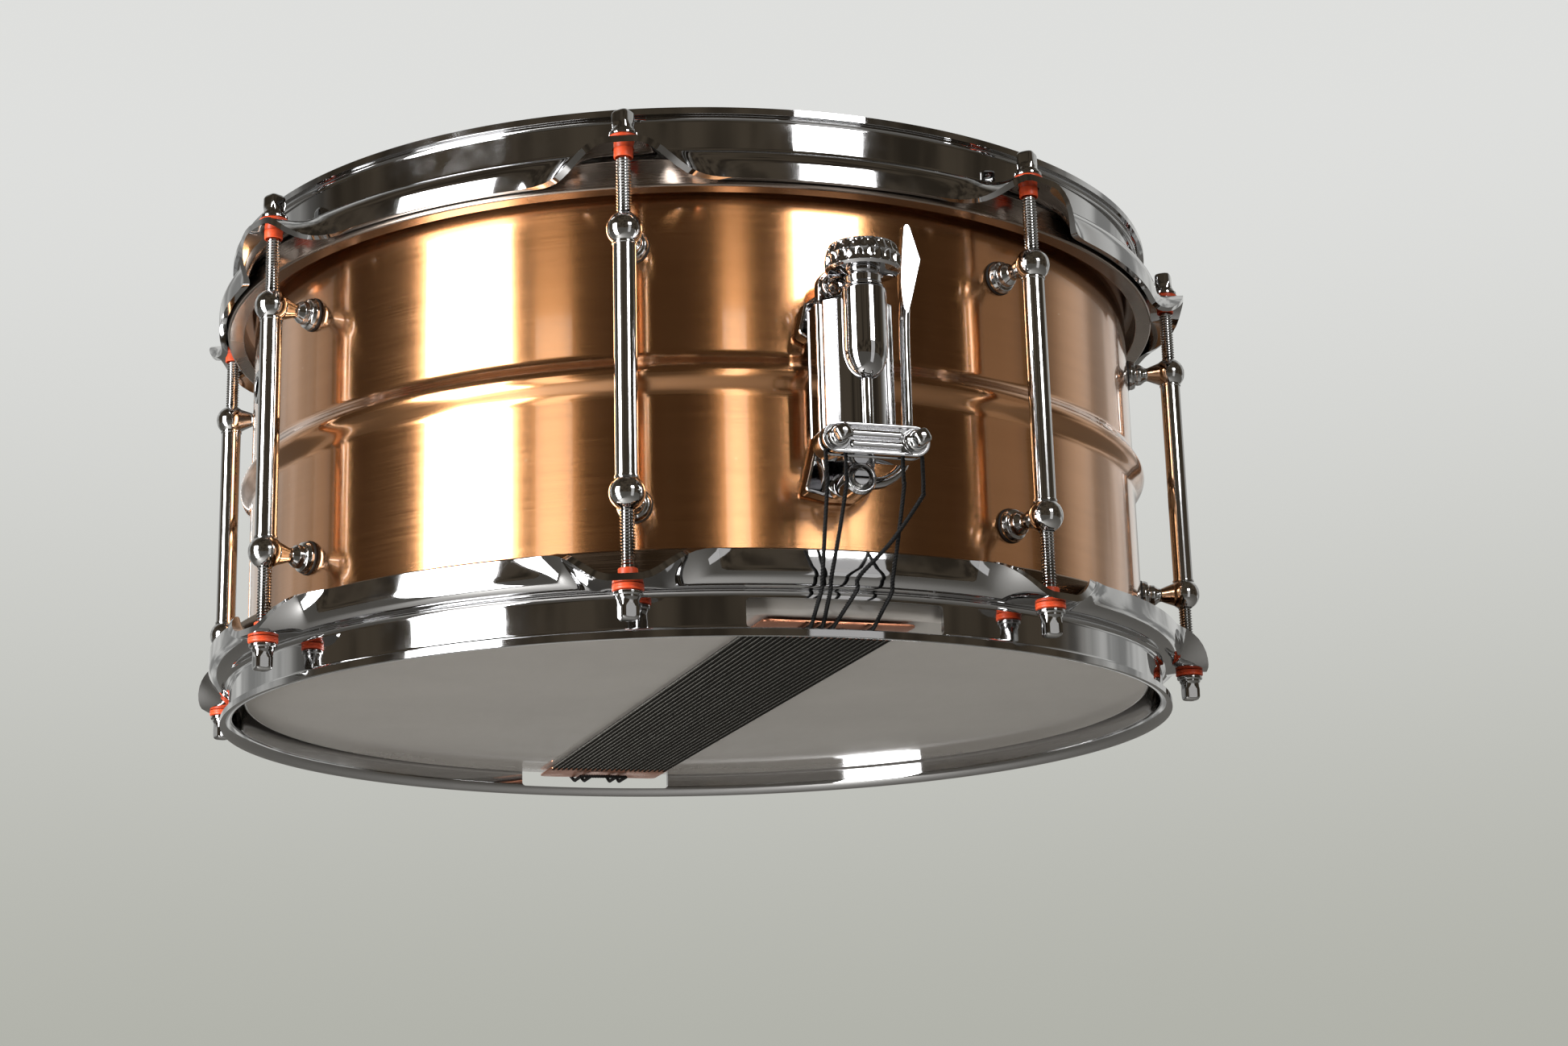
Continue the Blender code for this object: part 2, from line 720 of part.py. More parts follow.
def clamp_outlines(screw_places):
    holes = [hole(x, CLAMP_HEIGHT, CLAMP_SCREW_BORE) for x in screw_places]
    return [stadium(CLAMP_HALF, CLAMP_RADIUS, CLAMP_HEIGHT)] + holes


def make_clamp_screw(name, x, face, shank_end, outwards):
    """A drum-key screw along Y: a square head and collar outside the plate, a shank through it."""
    profile = [
        (0.0, CLAMP_SCREW_RIM),
        (CLAMP_SCREW_COLLAR, CLAMP_SCREW_RIM),
        (CLAMP_SCREW_COLLAR, GAP),
        (CLAMP_SCREW_RADIUS, GAP),
        (CLAMP_SCREW_RADIUS, shank_end - face),
        (0.0, shank_end - face),
    ]
    screw = turned(name, profile, 10, DRUM)
    half = CLAMP_SCREW_HALF
    low = (-half, -half, CLAMP_SCREW_RIM / 2)
    head = box_mesh(f"{name}_head", low, (half, half, CLAMP_SCREW_HEAD))
    head = add_cutter(f"{name}_head", head)
    for piece in (screw, head):
        piece.location = (x, outwards * face, CLAMP_HEIGHT)
        piece.rotation_euler = (-outwards * math.pi / 2, 0.0, 0.0)
    join(screw, head)
    finish_part(screw, MATERIALS["steel"])


def make_clamp():
    places = (-CLAMP_SCREW_X, CLAMP_SCREW_X)
    depth = BLOCK_FRONT - BLOCK_BACK
    matrix = upright(BLOCK_BACK + depth / 2)
    block = flat_plate("strainer_clamp_block", clamp_outlines(places), depth, matrix)
    place = Matrix.Translation((0.0, -SLEEVE_DEPTH, CLAMP_HEIGHT))
    bore = cylinder_mesh("block_bore", SPINDLE_RADIUS + 0.5 * MM, 20 * MM, [place], 10)
    cut(block, add_cutter("block_bore", bore), solver="MANIFOLD")
    finish_part(block, MATERIALS["chrome"])
    depth = PLATE_FRONT - PLATE_BACK
    matrix = upright(PLATE_BACK + depth / 2)
    plate = flat_plate("strainer_clamp_plate", clamp_outlines(places), depth, matrix)
    finish_part(plate, MATERIALS["chrome"])
    shank_end = BLOCK_BACK + 1.5 * MM
    make_clamp_screw("strainer_clamp_screw_left", places[0], PLATE_FRONT, shank_end, -1)
    make_clamp_screw("strainer_clamp_screw_right", places[1], PLATE_FRONT, shank_end, -1)


def lever_outline():
    """The lever as seen from outside: an arm from the boss that turns up into a spear blade."""
    outer = [(-2.0, -46.0), (5.0, -45.6), (10.2, -43.4), (15.0, -41.2), (18.6, -38.4)]
    outer += [(20.2, -34.5), (20.5, 14.0), (25.0, 37.4), (21.8, 49.0), (20.6, 49.0)]
    inner = [(17.2, 37.4), (16.2, 14.0), (16.0, -28.0), (14.5, -32.5), (11.0, -35.0)]
    inner += [(5.0, -37.0), (-2.0, -37.0)]
    return [(x * MM, z * MM) for x, z in outer + inner]


def make_lever():
    depth = LEVER_FRONT - LEVER_BACK
    matrix = upright(LEVER_BACK + depth / 2)
    lever = flat_plate("strainer_lever", [lever_outline()], depth, matrix)
    length = BOSS_FRONT - BOSS_BACK
    place = along_y(0.0, -(BOSS_BACK + length / 2), PIVOT_HEIGHT)
    boss = cylinder_mesh("lever_boss", BOSS_RADIUS, length, [place], 16)
    join(lever, add_cutter("lever_boss", boss))
    bore = cylinder_mesh("lever_bore", PIVOT_BORE, 3 * length, [place])
    cut(lever, add_cutter("lever_bore", bore))
    finish_part(lever, MATERIALS["chrome"])


# ---------------------------------------------------------------- butt plate


def make_butt():
    """The fixed clamp opposite the strainer: a base on the shell, a block, a plate and a screw."""
    low = (-BUTT_HALF, BUTT_BACK, BUTT_BOTTOM)
    high = (BUTT_HALF, BUTT_BASE, BUTT_TOP)
    base = add_object("butt_plate", box_mesh("butt_plate", low, high), DRUM)
    outlines = clamp_outlines((0.0,))
    depth = BUTT_BLOCK_FRONT - BUTT_BASE + 1 * MM
    block = flat_plate("butt_block", outlines, depth, upright(-(BUTT_BLOCK_FRONT - depth / 2)))
    DRUM.objects.unlink(block)
    CUTTERS.objects.link(block)
    join(base, as_cutter(block))
    finish_part(base, MATERIALS["chrome"])
    depth = BUTT_PLATE_FRONT - BUTT_PLATE_BACK
    matrix = upright(-(BUTT_PLATE_BACK + depth / 2))
    plate = flat_plate("butt_clamp_plate", outlines, depth, matrix)
    finish_part(plate, MATERIALS["chrome"])
    make_clamp_screw("butt_clamp_screw", 0.0, BUTT_PLATE_FRONT, BUTT_BASE + 4 * MM, 1)


# ---------------------------------------------------------------- snare wires and cords


def make_wires():
    """The band of snare strands with a solder plate at each end, as one strip."""
    low = (-WIRES_HALF_WIDTH, -WIRES_HALF_LENGTH, WIRES_TOP - WIRES_THICK)
    high = (WIRES_HALF_WIDTH, WIRES_HALF_LENGTH, WIRES_TOP)
    wires = add_object("snare_wires", box_mesh("snare_wires", low, high), DRUM)
    base = WIRES_TOP - END_PLATE_DROP
    for side in (-1, 1):
        reach = sorted((side * (WIRES_HALF_LENGTH - END_PLATE_LAP), side * END_PLATE_REACH))
        name = f"end_plate_{side}"
        low = (-END_PLATE_HALF, reach[0], base - END_PLATE_THICK)
        high = (END_PLATE_HALF, reach[1], base)
        join(wires, add_cutter(name, box_mesh(name, low, high)))
    finish_part(wires, MATERIALS["copper"], shade=False)


def cord_strand(side, xs, top, leave, corner_depth):
    """Points of one strand: down through the clamp, over the hoop's corner and under the plate.

    xs are its places across the drum in the clamp, at the corner and under the end plate."""
    clamp = side * (CORD_DEPTH if side < 0 else BUTT_CORD_DEPTH)
    return [
        (xs[0], clamp, top),
        (xs[0], clamp, leave),
        (xs[1], side * corner_depth, CORD_CORNER_HEIGHT),
        (xs[2], side * (END_PLATE_REACH + 1 * MM), CORD_UNDER),
        (xs[2], side * CORD_LOOP, CORD_UNDER),
    ]


def cord_length(name, points):
    curve = bpy.data.curves.new(name, "CURVE")
    curve.dimensions = "3D"
    curve.bevel_depth = CORD_RADIUS
    curve.bevel_resolution = 1
    curve.use_fill_caps = True
    spline = curve.splines.new("POLY")
    spline.points.add(len(points) - 1)
    for target, (x, y, z) in zip(spline.points, points):
        target.co = (x, y, z, 1.0)
    return curve_as_mesh(add_object(name, curve, DRUM), Matrix.Identity(4))


def make_cord(name, strands):
    """The outer strands as one length that runs under the end plate, and the others tied to it."""
    cord = cord_length(name, strands[0] + strands[-1][::-1])
    for k, strand in enumerate(strands[1:-1]):
        tied = cord_length(f"{name}_strand_{k}", strand)
        DRUM.objects.unlink(tied)
        CUTTERS.objects.link(tied)
        join(cord, as_cutter(tied))
    finish_part(cord, MATERIALS["cord"])


def make_cords():
    """Four strands at each end, from a clamp over the hoop's corner to the wires. One crosses over."""
    high = CLAMP_HEIGHT + CORD_GRIP
    low = CLAMP_HEIGHT - CORD_GRIP
    crossing = CORD_CORNER + CROSSING_GAP
    front = [
        cord_strand(-1, (-CORD_OUTER, -12.0 * MM, -11.0 * MM), low, CORD_EXIT, CORD_CORNER),
        cord_strand(-1, (-CORD_INNER, -9.0 * MM, -7.0 * MM), high, CORD_EXIT, CORD_CORNER),
        cord_strand(-1, (CORD_OUTER, -1.0 * MM, -3.0 * MM), low, CORD_CROSSING_EXIT, crossing),
        cord_strand(-1, (CORD_INNER, 12.0 * MM, 11.0 * MM), high, CORD_EXIT, CORD_CORNER),
    ]
    make_cord("strainer_cord", front)
    back = []
    for x, top in ((-14.0, low), (-8.0, high), (8.0, high), (14.0, low)):
        places = (x * MM, 0.85 * x * MM, 0.75 * x * MM)
        back.append(cord_strand(1, places, top, BUTT_EXIT, CORD_CORNER))
    make_cord("butt_cord", back)


clear_scene()
DRUM = make_collection("snare_drum")
CUTTERS = make_collection("cutters")
CENTRE = make_centre()
MATERIALS = {
    "bronze": make_material("bronze", (0.42, 0.22, 0.10), 0.28, 1.0),
    "chrome": make_material("chrome", (0.62, 0.62, 0.61), 0.08, 1.0),
    "steel": make_material("steel", (0.55, 0.55, 0.54), 0.18, 1.0),
    "head_film": make_material("head_film", (0.62, 0.58, 0.53), 0.35, 0.0),
    "nylon": make_material("nylon", (0.85, 0.16, 0.05), 0.45, 0.0),
    "copper": make_material("copper", (0.62, 0.30, 0.18), 0.30, 1.0),
    "cord": make_material("cord", (0.02, 0.02, 0.02), 0.80, 0.0),
}
make_shell()
make_vent_grommet()
make_heads()
make_hoops()
make_tensioning()
make_bracket()
make_carriage()
make_knob()
make_clamp()
make_lever()
make_butt()
make_wires()
make_cords()
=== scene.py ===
"""The looks of the snare drum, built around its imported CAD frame.

Heights are measured from the shell's mid-height and radii from the drum's axis. The strainer faces -Y
and the butt plate faces +Y. Each round CAD node is replaced by a finely turned piece of the same size.
"""

import math

import bmesh
import bpy
from mathutils import Matrix, Vector


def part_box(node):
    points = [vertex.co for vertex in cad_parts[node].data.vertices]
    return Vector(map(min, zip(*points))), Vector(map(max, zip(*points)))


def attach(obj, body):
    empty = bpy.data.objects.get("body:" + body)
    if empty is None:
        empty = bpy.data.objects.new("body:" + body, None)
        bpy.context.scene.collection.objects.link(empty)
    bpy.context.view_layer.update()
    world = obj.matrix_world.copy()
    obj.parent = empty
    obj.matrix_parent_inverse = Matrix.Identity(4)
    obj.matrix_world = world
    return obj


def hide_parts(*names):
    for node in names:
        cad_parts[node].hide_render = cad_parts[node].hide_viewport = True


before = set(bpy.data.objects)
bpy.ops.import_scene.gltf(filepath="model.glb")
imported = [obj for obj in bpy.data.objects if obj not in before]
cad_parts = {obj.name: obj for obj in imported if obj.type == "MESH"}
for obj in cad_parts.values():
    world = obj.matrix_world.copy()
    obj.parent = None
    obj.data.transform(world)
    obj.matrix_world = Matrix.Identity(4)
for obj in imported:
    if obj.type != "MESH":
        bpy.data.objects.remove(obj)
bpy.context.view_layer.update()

MM = 0.001
TURN = 2 * math.pi
IDENTITY = Matrix.Identity(4)


# ------------------------------------------------------------------ sizes, some read from the frame and some given


def heights(node):
    """A CAD node's lowest and highest height above the shell's mid-height."""
    low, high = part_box(node)
    return low.z - MIDDLE, high.z - MIDDLE


def axis_of(node):
    """The middle of a CAD node, seen from above."""
    low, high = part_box(node)
    return Vector(((low.x + high.x) / 2, (low.y + high.y) / 2))


def depths(node):
    """A CAD node's nearest and farthest distance in front of the drum's axis."""
    low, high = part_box(node)
    return -high.y, -low.y


SHELL_LOW, SHELL_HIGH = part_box("shell")
MIDDLE = (SHELL_LOW.z + SHELL_HIGH.z) / 2
BEAD_RISE = 4.0 * MM
BEAD_HALF_HEIGHT = 8.0 * MM
SHELL_RADIUS = SHELL_HIGH.x - BEAD_RISE
SHELL_EDGE = (SHELL_HIGH.z - SHELL_LOW.z) / 2
SHELL_WALL = 1.2 * MM
HEAD_TOP = -MIDDLE
SKIRT_EDGE, HOOP_TOP = heights("batter_hoop")
ROD_CIRCLE = axis_of("batter_washer_1").length
LUGS = 8
LUG_SPACING = TURN / LUGS
BALL_RADIUS = 6.1 * MM
BALL_HEIGHT = 45.6 * MM
SHEET = 2.3 * MM
STEP_HEIGHT = 75.2 * MM
EAR_FACE = STEP_HEIGHT + SHEET / 2 + 0.05 * MM
SPINDLE_DEPTH = -axis_of("tension_knob").y
CENTRE = Matrix.Translation((0.0, 0.0, MIDDLE))
TURNED_OVER = Matrix.Rotation(math.pi, 4, "X")


# ------------------------------------------------------------------ shape tools


def mesh_of(name, verts, faces, merge=True):
    bm = bmesh.new()
    made = [bm.verts.new(v) for v in verts]
    for face in faces:
        bm.faces.new([made[i] for i in face])
    if merge:
        bmesh.ops.remove_doubles(bm, verts=bm.verts, dist=1e-6)
    bmesh.ops.recalc_face_normals(bm, faces=bm.faces)
    mesh = bpy.data.meshes.new(name)
    bm.to_mesh(mesh)
    bm.free()
    return mesh


def surface(name, point, columns, rows, around=True, caps=False):
    """A grid of quads through point(column, row), closed round its columns if around is set."""
    verts = [point(column, row) for row in range(rows) for column in range(columns)]
    faces = []
    for row in range(rows - 1):
        for column in range(columns if around else columns - 1):
            after = (column + 1) % columns
            low, high = row * columns, (row + 1) * columns
            faces.append((low + column, low + after, high + after, high + column))
    if caps:
        faces.append(tuple(range(columns)))
        faces.append(tuple((rows - 1) * columns + column for column in range(columns)))
    return mesh_of(name, verts, faces)


def rounded(corners, closed=False, steps=5):
    """A line through (x, y, radius) corners, with an arc of that radius at each corner."""
    points = []
    for i, (x, y, radius) in enumerate(corners):
        here = Vector((x, y))
        if radius == 0 or (not closed and i in (0, len(corners) - 1)):
            points.append((x, y))
            continue
        before = Vector(corners[i - 1][:2]) - here
        after = Vector(corners[(i + 1) % len(corners)][:2]) - here
        half = before.angle(after) / 2
        room = [0.49 if corners[k % len(corners)][2] else 0.96 for k in (i - 1, i + 1)]
        reach = min(radius / math.tan(half), room[0] * before.length, room[1] * after.length)
        bisector = (before.normalized() + after.normalized()).normalized()
        centre = here + bisector * (reach / math.cos(half))
        start = here + before.normalized() * reach - centre
        end = here + after.normalized() * reach - centre
        sweep = start.angle_signed(end)
        for step in range(steps + 1):
            spoke = start.copy()
            spoke.rotate(Matrix.Rotation(-sweep * step / steps, 2))
            points.append(tuple(centre + spoke))
    return points


def mm(*corners):
    """Corners given in millimetres, as metres."""
    return [tuple(value * MM for value in corner) for corner in corners]


def turned(name, profile, steps=64, ring=False):
    """A (radius, height) profile swept round Z."""
    line = profile + profile[:1] if ring else profile

    def point(column, row):
        angle = TURN * column / steps
        radius, height = line[row]
        return (radius * math.cos(angle), radius * math.sin(angle), height)

    return surface(name, point, steps, len(line))


def slab(name, outline, low, high):
    """A flat outline given a thickness along Z."""
    count = len(outline)
    verts = [(x, y, low) for x, y in outline] + [(x, y, high) for x, y in outline]
    faces = [tuple(range(count))[::-1], tuple(range(count, 2 * count))]
    for i in range(count):
        after = (i + 1) % count
        faces.append((i, after, count + after, count + i))
    return mesh_of(name, verts, faces)


def block(name, low, high):
    """A box between two corners."""
    outline = [(low[0], low[1]), (high[0], low[1]), (high[0], high[1]), (low[0], high[1])]
    return slab(name, outline, low[2], high[2])


def squared(radius, squareness, angle):
    """A point of a rounded square: squareness 2 is a circle, and a large one has tight corners."""
    c, s = math.cos(angle), math.sin(angle)
    reach = (abs(c) ** squareness + abs(s) ** squareness) ** (-1 / squareness)
    return radius * reach * c, radius * reach * s


def key_post(name, rows, steps=40):
    """A turned and squared post up Z, from (half width, height, squareness) rows."""

    def point(column, row):
        radius, height, squareness = rows[row]
        x, y = squared(radius, squareness, TURN * column / steps)
        return (x, y, height)

    return surface(name, point, steps, len(rows), caps=True)


def joined(name, meshes):
    """Several meshes as one, each with its own matrix."""
    bm = bmesh.new()
    for mesh, matrix in meshes:
        part = bmesh.new()
        part.from_mesh(mesh)
        bmesh.ops.transform(part, matrix=matrix, verts=part.verts)
        kept = bpy.data.meshes.new("part")
        part.to_mesh(kept)
        part.free()
        bm.from_mesh(kept)
        bpy.data.meshes.remove(kept)
    mesh = bpy.data.meshes.new(name)
    bm.to_mesh(mesh)
    bm.free()
    return mesh


def shaped(mesh, *modifiers):
    """A mesh after modifiers, each given as (type, settings)."""
    obj = bpy.data.objects.new("shaping", mesh)
    bpy.context.scene.collection.objects.link(obj)
    for kind, settings in modifiers:
        modifier = obj.modifiers.new(kind, kind)
        for setting, value in settings.items():
            setattr(modifier, setting, value)
    bpy.context.view_layer.update()
    graph = bpy.context.evaluated_depsgraph_get()
    made = bpy.data.meshes.new_from_object(obj.evaluated_get(graph))
    made.name = mesh.name
    made.materials.clear()
    bpy.data.objects.remove(obj)
    return made


def bevelled(mesh, width=0.4 * MM, segments=3, angle=40):
    bevel = {"width": width, "segments": segments, "limit_method": "ANGLE", "angle_limit": math.radians(angle)}
    return shaped(mesh, ("BEVEL", bevel))


def without(mesh, cutter):
    """A closed mesh less a closed cutter mesh."""
    tool = bpy.data.objects.new("cutter", cutter)
    bpy.context.scene.collection.objects.link(tool)
    made = shaped(mesh, ("BOOLEAN", {"object": tool, "operation": "DIFFERENCE", "solver": "MANIFOLD"}))
    bpy.data.objects.remove(tool)
    return made


def piece(name, mesh, body, look, place=IDENTITY, stands_for=(), sharp=40):
    """An object of the drum in its material, riding on its body."""
    obj = bpy.data.objects.new(name, mesh)
    bpy.context.scene.collection.objects.link(obj)
    obj.matrix_world = CENTRE @ place
    if body != "snares":
        even = obj.modifiers.new("even_normals", "WEIGHTED_NORMAL")
        even.keep_sharp = True
    if not mesh.materials:
        mesh.materials.append(LOOKS[look])
        mesh.shade_smooth()
        mesh.set_sharp_from_angle(angle=math.radians(sharp))
    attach(obj, body)
    if stands_for:
        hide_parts(*stands_for)
    return obj


def upright(depth=0.0):
    """Stands a piece made in the XY plane up in front of the drum, facing -Y."""
    return Matrix.Translation((0.0, -depth, 0.0)) @ Matrix.Rotation(math.pi / 2, 4, "X")


def at_azimuth(azimuth, radius, height=0.0):
    return Matrix.Rotation(azimuth, 4, "Z") @ Matrix.Translation((radius, 0.0, height))


# ------------------------------------------------------------------ materials


class Look:
    """A node material with short calls for the nodes that the drum's finishes share."""

    def __init__(self, name, colour, roughness, metallic=0.0):
        self.material = bpy.data.materials.new(name)
        self.material.use_nodes = True
        self.tree = self.material.node_tree
        self.shader = self.tree.nodes["Principled BSDF"]
        self.colour = colour
        self.set("Base Color", (*colour, 1.0))
        self.set("Roughness", roughness)
        self.set("Metallic", metallic)
        self.place = self.node("ShaderNodeTexCoord").outputs["Object"]

    def set(self, socket, value):
        self.shader.inputs[socket].default_value = value

    def node(self, kind, **settings):
        made = self.tree.nodes.new(kind)
        for setting, value in settings.items():
            setattr(made, setting, value)
        return made

    def link(self, output, target):
        self.tree.links.new(output, target)

    def scaled(self, scale):
        mapping = self.node("ShaderNodeMapping")
        mapping.inputs["Scale"].default_value = scale
        self.link(self.place, mapping.inputs["Vector"])
        return mapping.outputs["Vector"]

    def noise(self, scale, detail=3.0, rough=0.55):
        """Noise with its own scale along each axis, in cells a metre."""
        noise = self.node("ShaderNodeTexNoise")
        noise.inputs["Scale"].default_value = 1.0
        noise.inputs["Detail"].default_value = detail
        noise.inputs["Roughness"].default_value = rough
        self.link(self.scaled(scale), noise.inputs["Vector"])
        return noise.outputs["Fac"]

    def spots(self, scale, size):
        """1 inside small round specks spread at random, and 0 elsewhere."""
        cells = self.node("ShaderNodeTexVoronoi")
        cells.inputs["Scale"].default_value = 1.0
        self.link(self.scaled((scale, scale, scale)), cells.inputs["Vector"])
        return self.span(cells.outputs["Distance"], size, size * 0.5, 0.0, 1.0)

    def span(self, value, low, high, to_low, to_high):
        ramp = self.node("ShaderNodeMapRange")
        for socket, number in zip(("From Min", "From Max", "To Min", "To Max"), (low, high, to_low, to_high)):
            ramp.inputs[socket].default_value = number
        self.link(value, ramp.inputs["Value"])
        return ramp.outputs["Result"]

    def math(self, operation, first, second):
        made = self.node("ShaderNodeMath", operation=operation)
        for socket, value in zip(made.inputs, (first, second)):
            if isinstance(value, (int, float)):
                socket.default_value = value
            else:
                self.link(value, socket)
        return made.outputs["Value"]

    def tint(self, factor, other):
        """Mixes the base colour towards another by factor."""
        mix = self.node("ShaderNodeMix", data_type="RGBA")
        self.link(factor, mix.inputs["Factor"])
        current = self.shader.inputs["Base Color"]
        if current.is_linked:
            self.link(current.links[0].from_socket, mix.inputs["A"])
        else:
            mix.inputs["A"].default_value = (*self.colour, 1.0)
        mix.inputs["B"].default_value = (*other, 1.0)
        self.link(mix.outputs["Result"], current)

    def roughen(self, value):
        self.link(value, self.shader.inputs["Roughness"])

    def bump(self, height, distance, strength=1.0):
        bump = self.node("ShaderNodeBump")
        bump.inputs["Distance"].default_value = distance
        bump.inputs["Strength"].default_value = strength
        self.link(height, bump.inputs["Height"])
        current = self.shader.inputs["Normal"]
        if current.is_linked:
            self.link(current.links[0].from_socket, bump.inputs["Normal"])
        self.link(bump.outputs["Normal"], current)


def brushed_bronze():
    """Bronze brushed round the shell under clear lacquer, with soft toning and a few dust specks."""
    look = Look("brushed_bronze", (0.62, 0.30, 0.125), 0.2, 1.0)
    grain = look.noise((30.0, 30.0, 5200.0), 4.0, 0.7)
    bands = look.noise((9.0, 9.0, 260.0), 3.0)
    toning = look.noise((11.0, 11.0, 15.0), 2.0)
    look.tint(look.span(grain, 0.3, 0.7, 0.0, 0.55), (0.70, 0.36, 0.17))
    look.tint(look.span(bands, 0.35, 0.7, 0.0, 0.3), (0.52, 0.24, 0.09))
    look.tint(look.span(toning, 0.4, 0.75, 0.0, 0.35), (0.55, 0.25, 0.10))
    look.tint(look.spots(160.0, 0.045), (0.85, 0.70, 0.52))
    look.roughen(look.span(grain, 0.25, 0.75, 0.13, 0.25))
    look.set("Anisotropic", 0.75)
    look.set("Anisotropic Rotation", 0.25)
    tangent = look.node("ShaderNodeTangent", direction_type="RADIAL", axis="Z")
    look.link(tangent.outputs["Tangent"], look.shader.inputs["Tangent"])
    look.bump(grain, 0.00002, 0.35)
    look.set("Coat Weight", 1.0)
    look.set("Coat Roughness", 0.045)
    return look.material


def chrome(name="chrome", colour=(0.55, 0.55, 0.56), waviness=0.00002, rough=0.025):
    """Chrome plate: nearly a mirror, with faint haze, slight waviness and a few specks."""
    look = Look(name, colour, 0.04, 1.0)
    haze = look.noise((90.0, 90.0, 90.0), 4.0)
    look.roughen(look.span(haze, 0.35, 0.75, rough, rough + 0.06))
    look.tint(look.spots(420.0, 0.06), (0.32, 0.31, 0.30))
    look.bump(look.noise((70.0, 70.0, 70.0), 1.0), waviness, 0.5)
    return look.material


def satin_aluminium(name, colour, worn):
    """The extruded flesh hoop: a soft grey metal drawn along its length."""
    look = Look(name, colour, 0.22, 1.0)
    drawn = look.noise((25.0, 25.0, 2600.0), 3.0)
    look.roughen(look.span(drawn, 0.3, 0.7, 0.18, 0.3))
    look.tint(look.span(look.noise((60.0, 60.0, 60.0)), 0.45, 0.7, 0.0, 0.5), worn)
    look.bump(drawn, 0.00002, 0.3)
    return look.material


def satin_steel():
    """The pivot screw: pale turned steel with fine rings."""
    look = Look("satin_steel", (0.66, 0.65, 0.61), 0.26, 1.0)
    turning = look.noise((500.0, 500.0, 500.0), 3.0)
    look.roughen(look.span(turning, 0.3, 0.7, 0.2, 0.34))
    look.bump(turning, 0.00001, 0.4)
    return look.material


def coated_film():
    """The batter head: clear film under a sprayed white coating with a fine gritty tooth."""
    look = Look("coated_film", (0.80, 0.79, 0.76), 0.62)
    grit = look.noise((2300.0, 2300.0, 2300.0), 2.0, 0.6)
    cloud = look.noise((26.0, 26.0, 26.0), 3.0)
    look.tint(look.span(cloud, 0.4, 0.7, 0.0, 0.5), (0.74, 0.73, 0.69))
    look.tint(look.span(grit, 0.55, 0.75, 0.0, 0.3), (0.66, 0.65, 0.62))
    look.roughen(look.span(grit, 0.3, 0.7, 0.5, 0.72))
    look.bump(grit, 0.00012, 0.5)
    look.set("Subsurface Weight", 0.1)
    look.set("Subsurface Radius", (0.002, 0.002, 0.0018))
    return look.material


def hazy_film_painted_light():
    """The snare-side head: a thin translucent film drawn as an opaque glossy surface, a little cloudy; its pale base
    colour is partly the film's own haze and partly painted light, standing in for the lit inside of the drum seen
    through the film.
    """
    look = Look("hazy_film_painted_light", (0.50, 0.47, 0.43), 0.1)
    cloud = look.noise((14.0, 14.0, 14.0), 3.0)
    fibres = look.noise((400.0, 90.0, 90.0), 4.0)
    look.tint(look.span(cloud, 0.35, 0.7, 0.0, 0.5), (0.42, 0.39, 0.36))
    look.roughen(look.span(fibres, 0.3, 0.75, 0.05, 0.13))
    look.set("IOR", 1.64)
    look.set("Coat Weight", 0.5)
    look.set("Coat Roughness", 0.03)
    look.bump(look.noise((7.0, 7.0, 7.0), 1.0), 0.0003, 0.25)
    return look.material


def orange_nylon():
    """Moulded washers: slightly waxy orange-red with a fine mould texture."""
    look = Look("orange_nylon", (0.83, 0.10, 0.025), 0.42)
    mottle = look.noise((900.0, 900.0, 900.0), 3.0)
    look.tint(look.span(mottle, 0.4, 0.7, 0.0, 0.4), (0.70, 0.07, 0.02))
    look.roughen(look.span(mottle, 0.3, 0.7, 0.34, 0.5))
    look.set("Subsurface Weight", 0.25)
    look.set("Subsurface Radius", (0.0015, 0.0005, 0.0002))
    look.bump(mottle, 0.00003, 0.4)
    return look.material


def coppered_steel():
    """The snare wires' end plates: copper-washed strip with stains from soldering."""
    look = Look("coppered_steel", (0.72, 0.30, 0.17), 0.26, 1.0)
    stain = look.noise((120.0, 120.0, 120.0), 4.0)
    look.tint(look.span(stain, 0.45, 0.65, 0.0, 0.6), (0.45, 0.20, 0.13))
    look.roughen(look.span(stain, 0.3, 0.7, 0.2, 0.42))
    look.bump(look.noise((30.0, 900.0, 900.0)), 0.00002, 0.4)
    return look.material


def spring_steel_painted_shade():
    """Fine coiled wire: drawn steel with its base colour painted very dark, as painted shade between the coils that
    the mesh does not resolve.
    """
    look = Look("spring_steel_painted_shade", (0.03, 0.029, 0.026), 0.32, 1.0)
    drawn = look.noise((1500.0, 1500.0, 1500.0), 2.0)
    look.roughen(look.span(drawn, 0.3, 0.7, 0.24, 0.4))
    look.tint(look.span(drawn, 0.45, 0.7, 0.0, 0.5), (0.018, 0.016, 0.014))
    return look.material


def black_cord():
    """Waxed black braid."""
    look = Look("black_cord", (0.006, 0.006, 0.006), 0.55)
    fibre = look.noise((2500.0, 2500.0, 900.0), 3.0)
    look.tint(look.span(fibre, 0.5, 0.75, 0.0, 0.6), (0.025, 0.024, 0.023))
    look.bump(fibre, 0.00008, 0.7)
    look.set("Specular IOR Level", 0.15)
    return look.material


def black_gasket():
    """Thin rubbery gaskets under the lug feet."""
    look = Look("black_gasket", (0.02, 0.02, 0.02), 0.55)
    grain = look.noise((1200.0, 1200.0, 1200.0))
    look.roughen(look.span(grain, 0.3, 0.7, 0.45, 0.65))
    look.bump(grain, 0.00004, 0.5)
    return look.material


